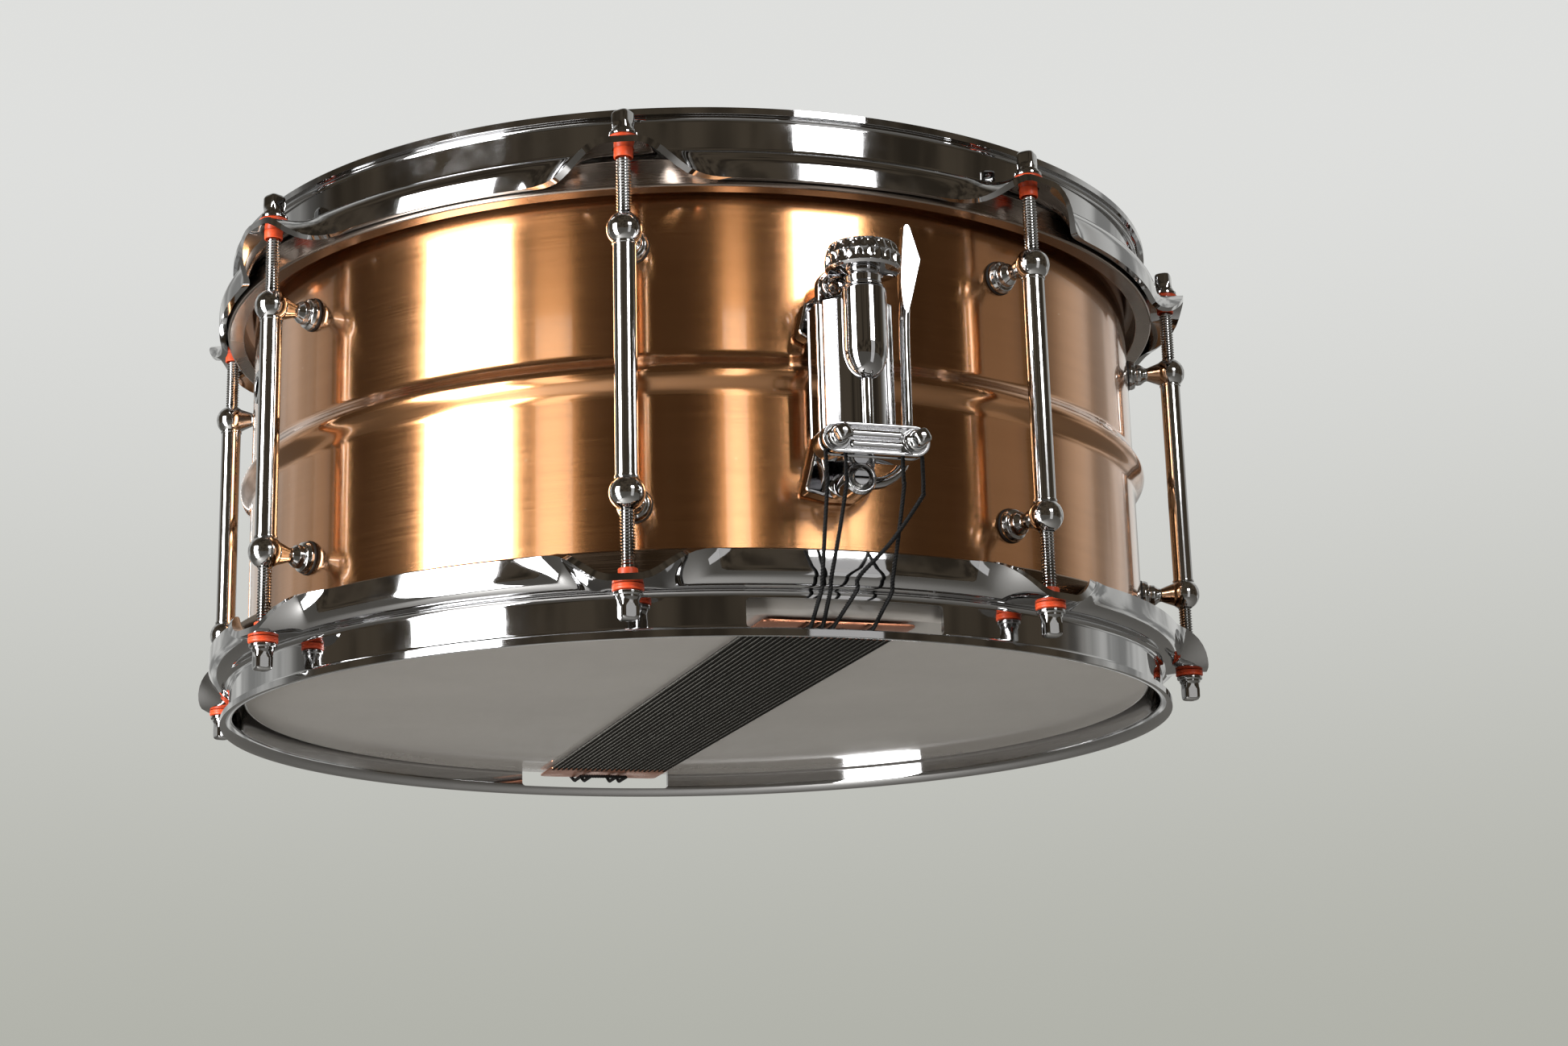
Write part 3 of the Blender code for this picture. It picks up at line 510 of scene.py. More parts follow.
LOOKS = {
    "bronze": brushed_bronze(),
    "chrome": chrome(),
    "hoop_chrome": chrome("hoop_chrome", (0.54, 0.54, 0.545), 0.00005),
    "rod_plate": chrome("rod_plate", (0.50, 0.50, 0.50), 0.00001),
    "tube_chrome": chrome("tube_chrome", (0.60, 0.60, 0.60), 0.00001, 0.075),
    "satin_steel": satin_steel(),
    "batter_alloy": satin_aluminium("batter_alloy", (0.40, 0.33, 0.28), (0.33, 0.27, 0.23)),
    "snare_side_alloy": satin_aluminium("snare_side_alloy", (0.25, 0.18, 0.125), (0.20, 0.14, 0.10)),
    "coated_film": coated_film(),
    "hazy_film_painted_light": hazy_film_painted_light(),
    "nylon": orange_nylon(),
    "copper": coppered_steel(),
    "wire": spring_steel_painted_shade(),
    "cord": black_cord(),
    "gasket": black_gasket(),
}


# ------------------------------------------------------------------ shell


def bead_radius(height):
    """The shell's outer radius, which swells smoothly into the bead at mid-height."""
    share = min(abs(height) / BEAD_HALF_HEIGHT, 1.0)
    return SHELL_RADIUS + BEAD_RISE * (0.5 + 0.5 * math.cos(math.pi * share))


def shell_line():
    """The closed section of the shell wall, down the outside and back up the inside."""
    edge = [(SHELL_RADIUS - 1.6 * MM, SHELL_EDGE), (SHELL_RADIUS - 0.5 * MM, SHELL_EDGE - 0.4 * MM)]
    edge.append((SHELL_RADIUS, SHELL_EDGE - 1.6 * MM))
    straight = [(SHELL_RADIUS, SHELL_EDGE * share) for share in (0.85, 0.6, 0.35, 0.2)]
    bead = [BEAD_HALF_HEIGHT * 1.1 * (1 - i / 20) for i in range(41)]
    outer = edge + straight + [(bead_radius(height), height) for height in bead]
    outer += [(radius, -height) for radius, height in reversed(edge + straight)]
    inner = [(radius - SHELL_WALL, height * 0.985) for radius, height in reversed(outer)]
    return outer + inner


VENT_AZIMUTH = math.radians(-176.0)
VENT_HEIGHT = 34.0 * MM
VENT_RADIUS = 5.2 * MM


ONLY_BRONZE = bpy.data.collections.new("only_bronze")


def make_shell():
    shell = turned("shell", shell_line(), 288, ring=True)
    vent = at_azimuth(VENT_AZIMUTH, SHELL_RADIUS, VENT_HEIGHT) @ Matrix.Rotation(math.pi / 2, 4, "Y")
    drill = joined("drill", [(turned("drill", mm((0, 9), (5.2, 9), (5.2, -9), (0, -9)), 48), vent)])
    wall = piece("shell_wall", without(shell, drill), "shell_body", "bronze", stands_for=["shell"], sharp=30)
    ONLY_BRONZE.objects.link(wall)
    ring = rounded(mm((4, 1.5, 0.6), (6.4, 1.5, 1.0), (6.7, 0.3, 0), (5.0, 0.3, 0), (5.0, -3, 0), (4, -3, 0)), True)
    grommet = turned("grommet", ring, 64, ring=True)
    piece("vent_ring", grommet, "shell_body", "chrome", vent, ["vent_grommet"])


# ------------------------------------------------------------------ heads

COLLAR_RADIUS = 177.3 * MM
FILM = 0.35 * MM


def film_line():
    """The film's outer line from its middle, over the bearing edge and down its collar."""
    flat = [(COLLAR_RADIUS * i / 24, HEAD_TOP) for i in range(22)]
    tail = rounded(
        [
            (COLLAR_RADIUS * 0.9, HEAD_TOP, 0),
            (COLLAR_RADIUS, HEAD_TOP, 2.0 * MM),
            (COLLAR_RADIUS + 0.3 * MM, 73.0 * MM, 1.2 * MM),
            (COLLAR_RADIUS + 3.6 * MM, 72.2 * MM, 0),
        ]
    )
    return flat + tail


def make_heads():
    line = film_line()
    under = [(max(radius - 0.2 * MM, 0.0), height - FILM) for radius, height in reversed(line)]
    film = turned("film", line + under, 192)
    section = mm((180.5, 73.3, 0.5), (186.8, 73.3, 0.9), (186.8, 63.0, 0.9), (180.5, 63.0, 0.5))
    flesh = turned("flesh_hoop", rounded(section, True, 4), 288, ring=True)
    sides = (
        ("batter", IDENTITY, "batter_hoop_body", "coated_film", "batter_head"),
        ("snare_side", TURNED_OVER, "snare_hoop_body", "hazy_film_painted_light", "snare_side_head"),
    )
    for side, turn, body, look, node in sides:
        piece(f"{side}_film", film.copy(), body, look, turn, [node], sharp=60)
        piece(f"{side}_flesh_hoop", flesh.copy(), body, f"{side}_alloy", turn)


# ------------------------------------------------------------------ hoops

LIP_RADIUS = 185.5 * MM
WALL_RADIUS = 181.2 * MM
SKIRT_RADIUS = 189.2 * MM
EAR_FLAT = math.radians(1.4)
EAR_END = math.radians(13.0)
EAR_TIP = 200.4 * MM
SKIRT_BEND = 4.4 * MM
SKIRT_TURN = math.radians(90)
SKIRT_LEAN = math.radians(3.5)
GATE_HALF = 34.5 * MM


def ear_amount(azimuth):
    """0 where the skirt hangs down, rising smoothly to 1 where it lies out flat as an ear."""
    offset = abs((azimuth % LUG_SPACING) - LUG_SPACING / 2)
    along = min(max((offset - EAR_FLAT) / (EAR_END - EAR_FLAT), 0.0), 1.0)
    return (0.5 + 0.5 * math.cos(math.pi * along)) ** 1.6


def hoop_line(azimuth):
    """The sheet's mid-line at an azimuth: lip, wall, step, and the skirt or ear."""
    lip = HOOP_TOP - SHEET / 2
    corners = [
        (LIP_RADIUS, lip, 0),
        (WALL_RADIUS, lip, 3.0 * MM),
        (WALL_RADIUS, STEP_HEIGHT, 3.4 * MM),
        (SKIRT_RADIUS - SKIRT_BEND, STEP_HEIGHT, 0),
    ]
    line = rounded(corners, steps=7)
    share = ear_amount(azimuth)
    turn = (1 - share) * SKIRT_TURN
    drop = STEP_HEIGHT - SKIRT_BEND * (1 - math.cos(SKIRT_TURN)) - SKIRT_EDGE
    reach = drop + share * (EAR_TIP - SKIRT_RADIUS + SKIRT_BEND - drop)
    radius, height = line[-1]
    for step in range(1, 8):
        angle = turn * step / 7
        line.append((radius + SKIRT_BEND * math.sin(angle), height - SKIRT_BEND * (1 - math.cos(angle))))
    for step in range(1, 9):
        angle = turn + (1 - share) * SKIRT_LEAN * step / 8
        radius, height = line[-1]
        line.append((radius + reach / 8 * math.cos(angle) + 1e-8 * step, height - reach / 8 * math.sin(angle)))
    return line


def hoop_mesh():
    """The pressed sheet as one solid ring; make_hoops cuts its ear holes and bevels its rims."""
    columns = LUGS * 56
    lines = [hoop_line(TURN * column / columns) for column in range(columns)]

    def point(column, row):
        radius, height = lines[column][row]
        angle = TURN * column / columns
        return (radius * math.cos(angle), radius * math.sin(angle), height)

    sheet = surface("hoop", point, columns, len(lines[0]))
    solid = shaped(sheet, ("SOLIDIFY", {"thickness": SHEET, "offset": 0.0, "use_even_offset": True}))
    return solid


def ear_drills():
    drill = turned("drill", mm((0, 6), (3.8, 6), (3.8, -6), (0, -6)), 24)
    places = [at_azimuth((k + 0.5) * LUG_SPACING, ROD_CIRCLE, STEP_HEIGHT) for k in range(LUGS)]
    return joined("drills", [(drill, place) for place in places])


def gate_cutters():
    """Round-cornered windows through the snare-side hoop's wall, where the snares pass out."""
    corners = [
        (-GATE_HALF, 78.9 * MM, 1.6 * MM),
        (GATE_HALF, 78.9 * MM, 1.6 * MM),
        (GATE_HALF, 89.0 * MM, 1.6 * MM),
        (-GATE_HALF, 89.0 * MM, 1.6 * MM),
    ]
    window = slab("window", rounded(corners, True), -8 * MM, 8 * MM)
    places = [Matrix.Rotation(turn, 4, "Z") @ upright(WALL_RADIUS) for turn in (0.0, math.pi)]
    return joined("windows", [(window, place) for place in places])


def make_hoops():
    plain = without(hoop_mesh(), ear_drills())
    gated = without(plain, gate_cutters())
    for name, mesh, turn, body, node in (
        ("batter_rim", plain, IDENTITY, "batter_hoop_body", "batter_hoop"),
        ("snare_rim", gated, TURNED_OVER, "snare_hoop_body", "snare_side_hoop"),
    ):
        rim = bevelled(mesh, 1.08 * MM, 5, 50)
        piece(name, rim, body, "hoop_chrome", turn, [node], sharp=50)


# ------------------------------------------------------------------ lugs, rods and washers

TUBE_RADIUS = 3.9 * MM
PITCH = 25.4 / 24 * MM
ROD_RADIUS = 2.6 * MM
THREAD_DEPTH = 0.5 * MM
FLANGE = 2.1 * MM


def lug_mesh():
    """A tube with a ball at each end, on two waisted posts with bell feet."""
    mouth = 2.9 * MM
    start = math.acos(mouth / BALL_RADIUS)
    end = math.acos(TUBE_RADIUS / BALL_RADIUS)
    ball = []
    for step in range(25):
        angle = start + (-end - start) * step / 24
        ball.append((BALL_RADIUS * math.cos(angle), BALL_HEIGHT + BALL_RADIUS * math.sin(angle)))
    rim = [(mouth - 0.2 * MM, BALL_HEIGHT + 3.0 * MM), (mouth - 0.1 * MM, ball[0][1] + 0.1 * MM)]
    below = ball[-1][1]
    ring = [(TUBE_RADIUS + 0.3 * MM, below - 0.2 * MM, 0.1 * MM), (TUBE_RADIUS + 0.3 * MM, below - 0.8 * MM, 0.1 * MM)]
    neck = rounded([(*ball[-1], 0)] + ring + [(TUBE_RADIUS, below - 1.0 * MM, 0), (TUBE_RADIUS, 0.0, 0)], steps=3)
    top = rim + ball + neck[1:]
    tube = turned("tube", top + [(radius, -height) for radius, height in reversed(top[:-1])], 56)
    standoff = ROD_CIRCLE - SHELL_RADIUS - 0.75 * MM
    corners = [(5.3 * MM, 2.2 * MM, 0), (4.2 * MM, 4.9 * MM, 5.0 * MM), (2.45 * MM, standoff - 6.9 * MM, 1.6 * MM)]
    corners += [
        (4.1 * MM, standoff - 4.7 * MM, 1.3 * MM),
        (4.3 * MM, standoff - 3.2 * MM, 0.5 * MM),
        (4.0 * MM, standoff - 2.7 * MM, 0.3 * MM),
        (5.3 * MM, standoff - 2.3 * MM, 0.6 * MM),
        (5.9 * MM, standoff - 1.0 * MM, 0.7 * MM),
        (5.9 * MM, standoff, 0),
        (0.0, standoff, 0),
    ]
    post = turned("post", rounded(corners, steps=7), 48)
    inwards = Matrix.Rotation(-math.pi / 2, 4, "Y")
    parts = [(tube, IDENTITY)]
    for side in (-1, 1):
        parts.append((post, Matrix.Translation((0.0, 0.0, side * BALL_HEIGHT)) @ inwards))
    return joined("lug", parts)


def gasket_mesh():
    """The two gaskets that fill the gap between a lug's feet and the shell."""
    thick = 0.72 * MM
    disc = turned("gasket", rounded([(0, thick, 0), (6.2 * MM, thick, 0.2 * MM), (6.2 * MM, 0, 0), (0, 0, 0)]), 40)
    outwards = Matrix.Rotation(math.pi / 2, 4, "Y")
    places = [Matrix.Translation((SHELL_RADIUS, 0.0, side * BALL_HEIGHT)) @ outwards for side in (-1, 1)]
    return joined("gaskets", [(disc, place) for place in places])


def thread_mesh(top, bottom, radius, steps=20):
    """A screw thread down Z whose ridge climbs one pitch a turn."""
    rows = round((top - bottom) / PITCH * 7)

    def point(column, row):
        height = top + (bottom - top) * row / rows
        angle = TURN * column / steps
        wave = (height / PITCH - column / steps) % 1.0
        ridge = min(abs(2 * wave - 1) * 1.25, 1.0)
        depth = radius - THREAD_DEPTH * ridge
        return (depth * math.cos(angle), depth * math.sin(angle), height)

    return surface("thread", point, steps, rows + 1, caps=True)


def rod_mesh():
    """A tension rod, its flange's underside at zero: key head up, thread down."""
    collar = rounded(
        mm(
            (0, 3.0, 0), (3.4, 3.6, 0.4), (4.05, 2.3, 0.4), (4.1, 1.6, 0.15), (4.9, 1.5, 0.6), (4.9, 0.1, 0.5),
            (2.15, 0.0, 0), (2.15, -37.0, 0), (0, -37.0, 0),
        ),
        steps=4,
    )
    head = [
        (3.7 * MM, 2.4 * MM, 2.0),
        (3.45 * MM, 3.5 * MM, 2.6),
        (3.2 * MM, 4.5 * MM, 4.2),
        (3.1 * MM, 5.4 * MM, 7.0),
        (3.05 * MM, 8.3 * MM, 7.0),
        (2.95 * MM, 8.8 * MM, 5.6),
        (2.65 * MM, 9.3 * MM, 4.2),
        (2.0 * MM, 9.62 * MM, 3.2),
        (0.9 * MM, 9.75 * MM, 2.4),
    ]
    parts = [
        (turned("collar", collar, 40), IDENTITY),
        (key_post("head", head), IDENTITY),
        (thread_mesh(-8.2 * MM, -36.5 * MM, ROD_RADIUS), IDENTITY),
    ]
    return joined("tension_rod", parts)


def washer_mesh():
    corners = mm(
        (2.9, 2.05, 0.2), (5.25, 2.05, 0.4), (5.25, 1.2, 0.1), (5.05, 1.05, 0.1), (5.25, 0.9, 0.1), (5.25, 0.0, 0.3),
        (3.3, 0.0, 0.2), (3.3, -5.4, 0.4), (2.9, -5.4, 0),
    )
    return turned("washer", rounded(corners, True, 4), 48, ring=True)


def make_tensioning():
    lug, gaskets, rod, washer = lug_mesh(), gasket_mesh(), rod_mesh(), washer_mesh()
    for k in range(1, LUGS + 1):
        azimuth = (k - 0.5) * LUG_SPACING
        piece(f"tube_lug_{k}", lug, "shell_body", "tube_chrome", at_azimuth(azimuth, ROD_CIRCLE), [f"lug_{k}"])
        turn = Matrix.Rotation(azimuth, 4, "Z")
        piece(f"lug_gaskets_{k}", gaskets, "shell_body", "gasket", turn)
        for side, flip in (("batter", IDENTITY), ("snare", TURNED_OVER)):
            seat = at_azimuth(azimuth, ROD_CIRCLE) @ flip @ Matrix.Translation((0, 0, EAR_FACE))
            spin = Matrix.Rotation(0.9 * k + 0.4, 4, "Z")
            top = seat @ Matrix.Translation((0, 0, FLANGE)) @ spin
            ring, bolt = f"{side}_washer_{k}", f"{side}_tension_rod_{k}"
            piece(f"{side}_sleeve_{k}", washer, f"{side}_hoop_body", "nylon", seat, [ring])
            piece(f"{side}_rod_{k}", rod, f"{side}_rod_{k}", "rod_plate", top, [bolt], sharp=35)


# ------------------------------------------------------------------ strainer

PIVOT_HEIGHT = -41.5 * MM
CLAMP_HEIGHT = sum(heights("strainer_clamp_plate")) / 2
CLAMP_SCREW_X = 13.4 * MM


def make_bracket():
    """The base plate: a tab with its screw, a bridge behind the housing and two feet on the shell."""
    outline = rounded(
        mm(
            (-9.0, 34.0, 5.2), (1.5, 34.0, 4.0), (2.0, 24.0, 1.0), (10.0, 21.0, 2.0), (10.0, -30.0, 6.0),
            (7.0, -45.5, 6.0), (-7.0, -45.5, 6.0), (-10.0, -30.0, 6.0), (-10.0, 20.0, 1.5), (-9.0, 23.0, 0.5),
        ),
        True,
    )
    plate = bevelled(slab("bracket", outline, 182.6 * MM, 187.0 * MM), 0.6 * MM)
    stand = upright()
    upper = rounded(mm((-13.0, 22.5, 1.2), (-9.0, 25.5, 2.0), (9.0, 24.5, 1.5), (9.0, 10.0, 1), (-11.5, 10.0, 1.5), (-15.4, 12.0, 2)), True)
    lower = rounded(mm((-9.0, -20.0, 1), (9.0, -20.0, 1), (9.5, -40.0, 4), (5, -45.0, 4), (-5.0, -45.0, 2), (-14.6, -43.0, 1.5), (-12.0, -33.0, 1.2)), True)
    parts = [
        (plate, stand),
        (bevelled(slab("upper_foot", upper, 177.2 * MM, 184.0 * MM), 1.2 * MM), stand),
        (bevelled(slab("lower_foot", lower, 177.2 * MM, 184.0 * MM), 1.2 * MM), stand),
    ]
    rim = rounded(mm((0, 188.0, 0), (1.9, 188.0, 0.2), (2.5, 188.7, 0.3), (4.3, 188.7, 0.7), (4.3, 186.0, 0), (0, 186.0, 0)))
    screw = turned("tab_screw", rim, 40)
    parts.append((screw, Matrix.Translation((-3.6 * MM, 0, 28.3 * MM)) @ Matrix.Rotation(math.pi / 2, 4, "X")))
    post = turned("pivot_post", mm((0, 199.2), (2.5, 199.2), (2.5, 184.0), (0, 184.0)), 32)
    parts.append((post, Matrix.Translation((0, 0, PIVOT_HEIGHT)) @ Matrix.Rotation(math.pi / 2, 4, "X")))
    piece("bracket_plate", joined("bracket", parts), "shell_body", "chrome", IDENTITY, ["strainer_bracket"])


def housing_section():
    """The sliding housing seen from above: stepped flanks and a fluted front."""
    right = rounded(
        mm((14, -188.2, 0), (13.3, -188.2, 0.6), (13.3, -196.4, 1.0), (12.1, -197.0, 0.3), (12.1, -200.4, 1.0),
           (8.7, -203.7, 0.5), (8.2, -203.2, 0.2), (7.9, -203.4, 0)),
    )[1:]
    bow = [(x / 2 * MM, -(203.4 + 3.3 * (1 - (x / 15.8) ** 2)) * MM) for x in range(15, -16, -1)]
    return right + bow + [(-x, y) for x, y in reversed(right)]


def make_carriage():
    low, high = heights("strainer_carriage")
    body = bevelled(slab("housing", housing_section(), low, 18.0 * MM), 0.5 * MM)
    radius = 7.5 * MM
    nose = [math.radians(5 * step) for step in range(19)]
    line = [(0, high), (6.4 * MM, high), (radius - 0.3 * MM, high - 0.6 * MM), (radius, high - 1.2 * MM)]
    line += [(radius * math.cos(angle), (1.0 - 12.0 * math.sin(angle)) * MM) for angle in nose]
    sleeve = turned("sleeve", line, 72)
    place = Matrix.Translation((0, -SPINDLE_DEPTH, 0))
    piece("housing", joined("carriage", [(body, IDENTITY), (sleeve, place)]), "carriage", "chrome", IDENTITY, ["strainer_carriage"])


SCALLOPS = 22


def scallop_depth(angle, height, middle, half, shift):
    """How far a spoon-shaped flute bites into the knob at a place on its side."""
    across = (angle * SCALLOPS / TURN + shift) % 1.0
    across = 1 - (2 * across - 1) ** 2
    along = max(1 - ((height - middle) / half) ** 2, 0.0) ** 0.5
    return across * along


def make_knob():
    under = rounded(mm((0, -33.0, 0), (1.9, -33.0, 0), (1.9, 20.9, 0), (6.5, 20.9, 0.3), (6.5, 21.5, 0.2), (5.9, 22.3, 0.6), (6.1, 24.4, 0.8)))
    side = rounded(
        mm((6.6, 24.8, 0.3), (11.6, 26.2, 0.5), (12.6, 27.1, 0.5), (12.7, 31.2, 0.3), (11.4, 35.1, 0.4), (10.6, 35.4, 0.2), (9.4, 35.4, 0.2), (8.8, 34.7, 0.3), (0, 34.5, 0)), steps=6
    )
    profile = under + side
    lines = []
    for (radius, height), (after, upper) in zip(profile, profile[1:]):
        count = max(1, round(math.hypot(after - radius, upper - height) / (0.35 * MM))) if height > 26 * MM and radius > 9.5 * MM else 1
        lines += [(radius + (after - radius) * i / count, height + (upper - height) * i / count) for i in range(count)]
    lines.append(profile[-1])
    columns = SCALLOPS * 12

    def point(column, row):
        radius, height = lines[row]
        angle = TURN * column / columns
        if radius > 10.4 * MM:
            radius -= 1.0 * MM * scallop_depth(angle, height, 29.2 * MM, 2.1 * MM, 0.0)
            radius -= 0.9 * MM * scallop_depth(angle, height, 33.1 * MM, 1.75 * MM, 0.5)
        return (radius * math.cos(angle), radius * math.sin(angle), height)

    knob = surface("knob", point, columns, len(lines))
    place = Matrix.Translation((0, -SPINDLE_DEPTH, 0))
    piece("knurled_knob", knob, "knob", "chrome", place, ["tension_knob"], sharp=28)


def stadium(half_length, radius):
    reach = half_length - radius
    right = [(reach + radius * math.cos(a), radius * math.sin(a)) for a in [math.radians(d) for d in range(-90, 91, 10)]]
    return right + [(-x, -y) for x, y in right]


def clamp_plate_mesh(low, high, bars):
    """The pressed plate of a cord clamp: a raised rim, two rounded bars and a disc under each screw."""
    plate = slab("clamp_plate", stadium(18.4 * MM, 5.15 * MM), low, high)
    dish = slab("dish", stadium(17.3 * MM, 4.05 * MM), high - 0.8 * MM, high + 1 * MM)
    parts = [(bevelled(without(plate, dish), 0.3 * MM, 3), IDENTITY)]
    bar = rounded(mm((0, 9.0, 0), (1.45, 9.0, 1.0), (1.45, -9.0, 1.0), (0, -9.0, 0)), steps=5)
    for y in bars:
        lay = Matrix.Translation((0, y, high - 0.95 * MM)) @ Matrix.Rotation(math.pi / 2, 4, "Y")
        parts.append((turned("bar", bar, 28), lay))
    seat = turned("seat", rounded(mm((0, 0.15, 0), (4.5, 0.15, 0.2), (4.5, -1.0, 0), (0, -1.0, 0))), 44)
    for x in (-CLAMP_SCREW_X, CLAMP_SCREW_X):
        parts.append((seat, Matrix.Translation((x, 0, high - 0.2 * MM))))
    return joined("clamp_plate", parts)


def clamp_screw_mesh():
    """A drum-key screw: its collar's underside at zero and its shank down."""
    collar = rounded(mm((0, 2.2, 0), (3.2, 2.2, 0.5), (3.6, 1.5, 0.4), (3.6, 0.1, 0.3), (1.9, 0.1, 0), (1.9, -10.0, 0), (0, -10.0, 0)))
    head = [
        (2.6 * MM, 1.8 * MM, 2.0),
        (2.15 * MM, 2.6 * MM, 2.2),
        (2.45 * MM, 3.4 * MM, 4.0),
        (2.6 * MM, 4.2 * MM, 5.0),
        (2.6 * MM, 6.0 * MM, 5.0),
        (2.35 * MM, 6.9 * MM, 3.6),
        (1.7 * MM, 7.4 * MM, 2.6),
        (0.6 * MM, 7.58 * MM, 2.0),
    ]
    return joined("clamp_screw", [(turned("collar", collar, 40), IDENTITY), (key_post("head", head), IDENTITY)])


def make_clamp():
    near, far = depths("strainer_clamp_block")
    height = Matrix.Translation((0, 0, CLAMP_HEIGHT))
    block_mesh = bevelled(slab("clamp_block", stadium(18.4 * MM, 5.15 * MM), near, far), 0.7 * MM)
    piece("cord_block", block_mesh, "clamp", "chrome", height @ upright(), ["strainer_clamp_block"])
    near, far = depths("strainer_clamp_plate")
    plate = clamp_plate_mesh(near, far, (1.75 * MM, -1.75 * MM))
    piece("cord_plate", plate, "clamp_plate", "chrome", height @ upright(), ["strainer_clamp_plate"])
    screw = clamp_screw_mesh()
    for side, x in (("left", -CLAMP_SCREW_X), ("right", CLAMP_SCREW_X)):
        place = height @ Matrix.Translation((x, 0, 0)) @ upright(far) @ Matrix.Rotation(0.5, 4, "Z")
        node = f"strainer_clamp_screw_{side}"
        piece(f"cord_screw_{side}", screw, f"clamp_screw_{side}", "rod_plate", place, [node])


def smooth_path(points, count):
    """Points along a Catmull-Rom line through the given ones."""
    ends = [points[0]] + list(points) + [points[-1]]
    made = []
    spans = len(points) - 1
    for i in range(count + 1):
        at = min(i / count * spans, spans - 1e-9)
        k, t = int(at), at - int(at)
        a, b, c, d = ends[k : k + 4]
        made.append(
            tuple(
                0.5 * (2 * q + (r - p) * t + (2 * p - 5 * q + 4 * r - s) * t * t + (3 * q - p - 3 * r + s) * t**3)
                for p, q, r, s in zip(a, b, c, d)
            )
        )
    return made


def bar_mesh(name, path, depth, sides=24):
    """A round bar along (x, y, radius) points in the plane at a depth."""

    def point(column, row):
        turn = TURN * column / sides
        before, after = path[max(row - 1, 0)], path[min(row + 1, len(path) - 1)]
        along = Vector((after[0] - before[0], after[1] - before[1])).normalized()
        x, y, radius = path[row]
        side = radius * math.cos(turn)
        return (x - along.y * side, y + along.x * side, depth + radius * math.sin(turn))

    return surface(name, point, sides, len(path))


def lever_mesh():
    """The lever: a round arm from its boss, up beside the housing, and a flat spear blade."""
    low, high = depths("strainer_lever")[0] + 3.4 * MM, 194.7 * MM
    middle = [(-1, -41.6), (4, -41.7), (9.5, -41.0), (14.3, -38.2), (17.4, -33.9), (18.8, -28), (19.1, -20)]
    middle += [(19.15, -8), (19.2, 4), (19.4, 14), (19.9, 22), (20.4, 28)]
    path = smooth_path(middle, 90)
    radii = [1.85 + 1.0 * max(0.0, 1 - k / 26) ** 1.5 for k in range(len(path))]
    arm = bar_mesh("arm", [(x * MM, y * MM, r * MM) for (x, y), r in zip(path, radii)], 192.8 * MM)
    outline = smooth_path([(20.4, 18), (21.6, 22), (23.4, 29), (25.6, 37.6)], 20)
    outline += [(22.3, 49.0), (21.5, 50.3), (20.4, 50.3), (19.7, 49.2)]
    outline += smooth_path([(19.3, 46), (18.5, 38), (18.0, 30), (18.2, 23), (19.4, 18)], 20)
    blade = bevelled(slab("blade", mm(*outline), low, high), 0.8 * MM, 2, 50)
    return joined("lever_arm", [(arm, IDENTITY), (blade, IDENTITY)])


def make_lever():
    along = Matrix.Translation((0, 0, PIVOT_HEIGHT)) @ Matrix.Rotation(math.pi / 2, 4, "X")
    section = mm(
        (3.0, 187.8, 0), (5.2, 187.8, 0.4), (5.2, 190.4, 0.2), (5.7, 191.0, 0.3), (5.7, 197.6, 0.9),
        (4.9, 199.0, 0.4), (4.3, 198.9, 0.3), (4.1, 198.0, 0.2), (3.1, 197.2, 0),
    )
    cup = turned("boss", rounded(section, True, 5), 56, ring=True)
    parts = [(lever_mesh(), upright()), (cup, along)]
    piece("lever_arm", joined("lever", parts), "lever", "chrome", IDENTITY, ["strainer_lever"])
    ring = rounded(mm((1.15, 198.5, 0.1), (2.6, 198.1, 0.5), (3.0, 197.0, 0.2), (3.0, 195.0, 0), (1.15, 195.0, 0)), True)
    socket = turned("socket", mm((1.35, 198.3), (1.25, 196.4), (0, 196.2)), 6)
    screw = joined("pivot_screw", [(turned("dome", ring, 44, ring=True), IDENTITY), (socket, IDENTITY)])
    piece("pivot_screw", screw, "shell_body", "satin_steel", along)


# ------------------------------------------------------------------ butt plate


def make_butt():
    """The clamp opposite the strainer: a domed base on the shell, a block, a plate and a screw."""
    base = rounded(mm((-17, -13, 5), (17, -13, 5), (15.5, -50, 6), (-15.5, -50, 6)), True)
    foot = bevelled(slab("butt_foot", base, 176.95 * MM, 181.5 * MM), 1.4 * MM, 4)
    raised = rounded(mm((-12, -18, 3), (12, -18, 3), (12, -40, 3), (-12, -40, 3)), True)
    step = bevelled(slab("butt_step", raised, 181.0 * MM, 185.0 * MM), 1.0 * MM, 4)
    stadium_line = [(x, y + CLAMP_HEIGHT) for x, y in stadium(18.4 * MM, 5.15 * MM)]
    grip = bevelled(slab("butt_grip", stadium_line, 181.0 * MM, 194.2 * MM), 0.7 * MM)
    facing = Matrix.Rotation(math.pi, 4, "Z") @ upright()
    parts = [(foot, facing), (step, facing), (grip, facing)]
    cap = turned("cap_screw", rounded(mm((0, 186.2, 0), (1.2, 186.2, 0.1), (1.5, 187.2, 0.3), (3.2, 186.8, 0.7), (3.4, 184.0, 0), (0, 184.0, 0))), 36)
    parts.append((cap, facing @ Matrix.Translation((0, -22.5 * MM, 0))))
    piece("butt_base", joined("butt_base", parts), "shell_body", "chrome", IDENTITY, ["butt_plate"])
    near, far = (-value for value in depths("butt_clamp_plate")[::-1])
    lifted = Matrix.Translation((0, 0, CLAMP_HEIGHT)) @ facing
    plate = clamp_plate_mesh(near, far, (1.75 * MM, -1.75 * MM))
    piece("butt_cord_plate", plate, "butt_clamp", "chrome", lifted, ["butt_clamp_plate"])
    place = lifted @ Matrix.Translation((0, 0, far)) @ Matrix.Rotation(0.3, 4, "Z")
    piece("butt_cord_screw", clamp_screw_mesh(), "butt_screw", "rod_plate", place, ["butt_clamp_screw"])


# ------------------------------------------------------------------ snare wires and cords

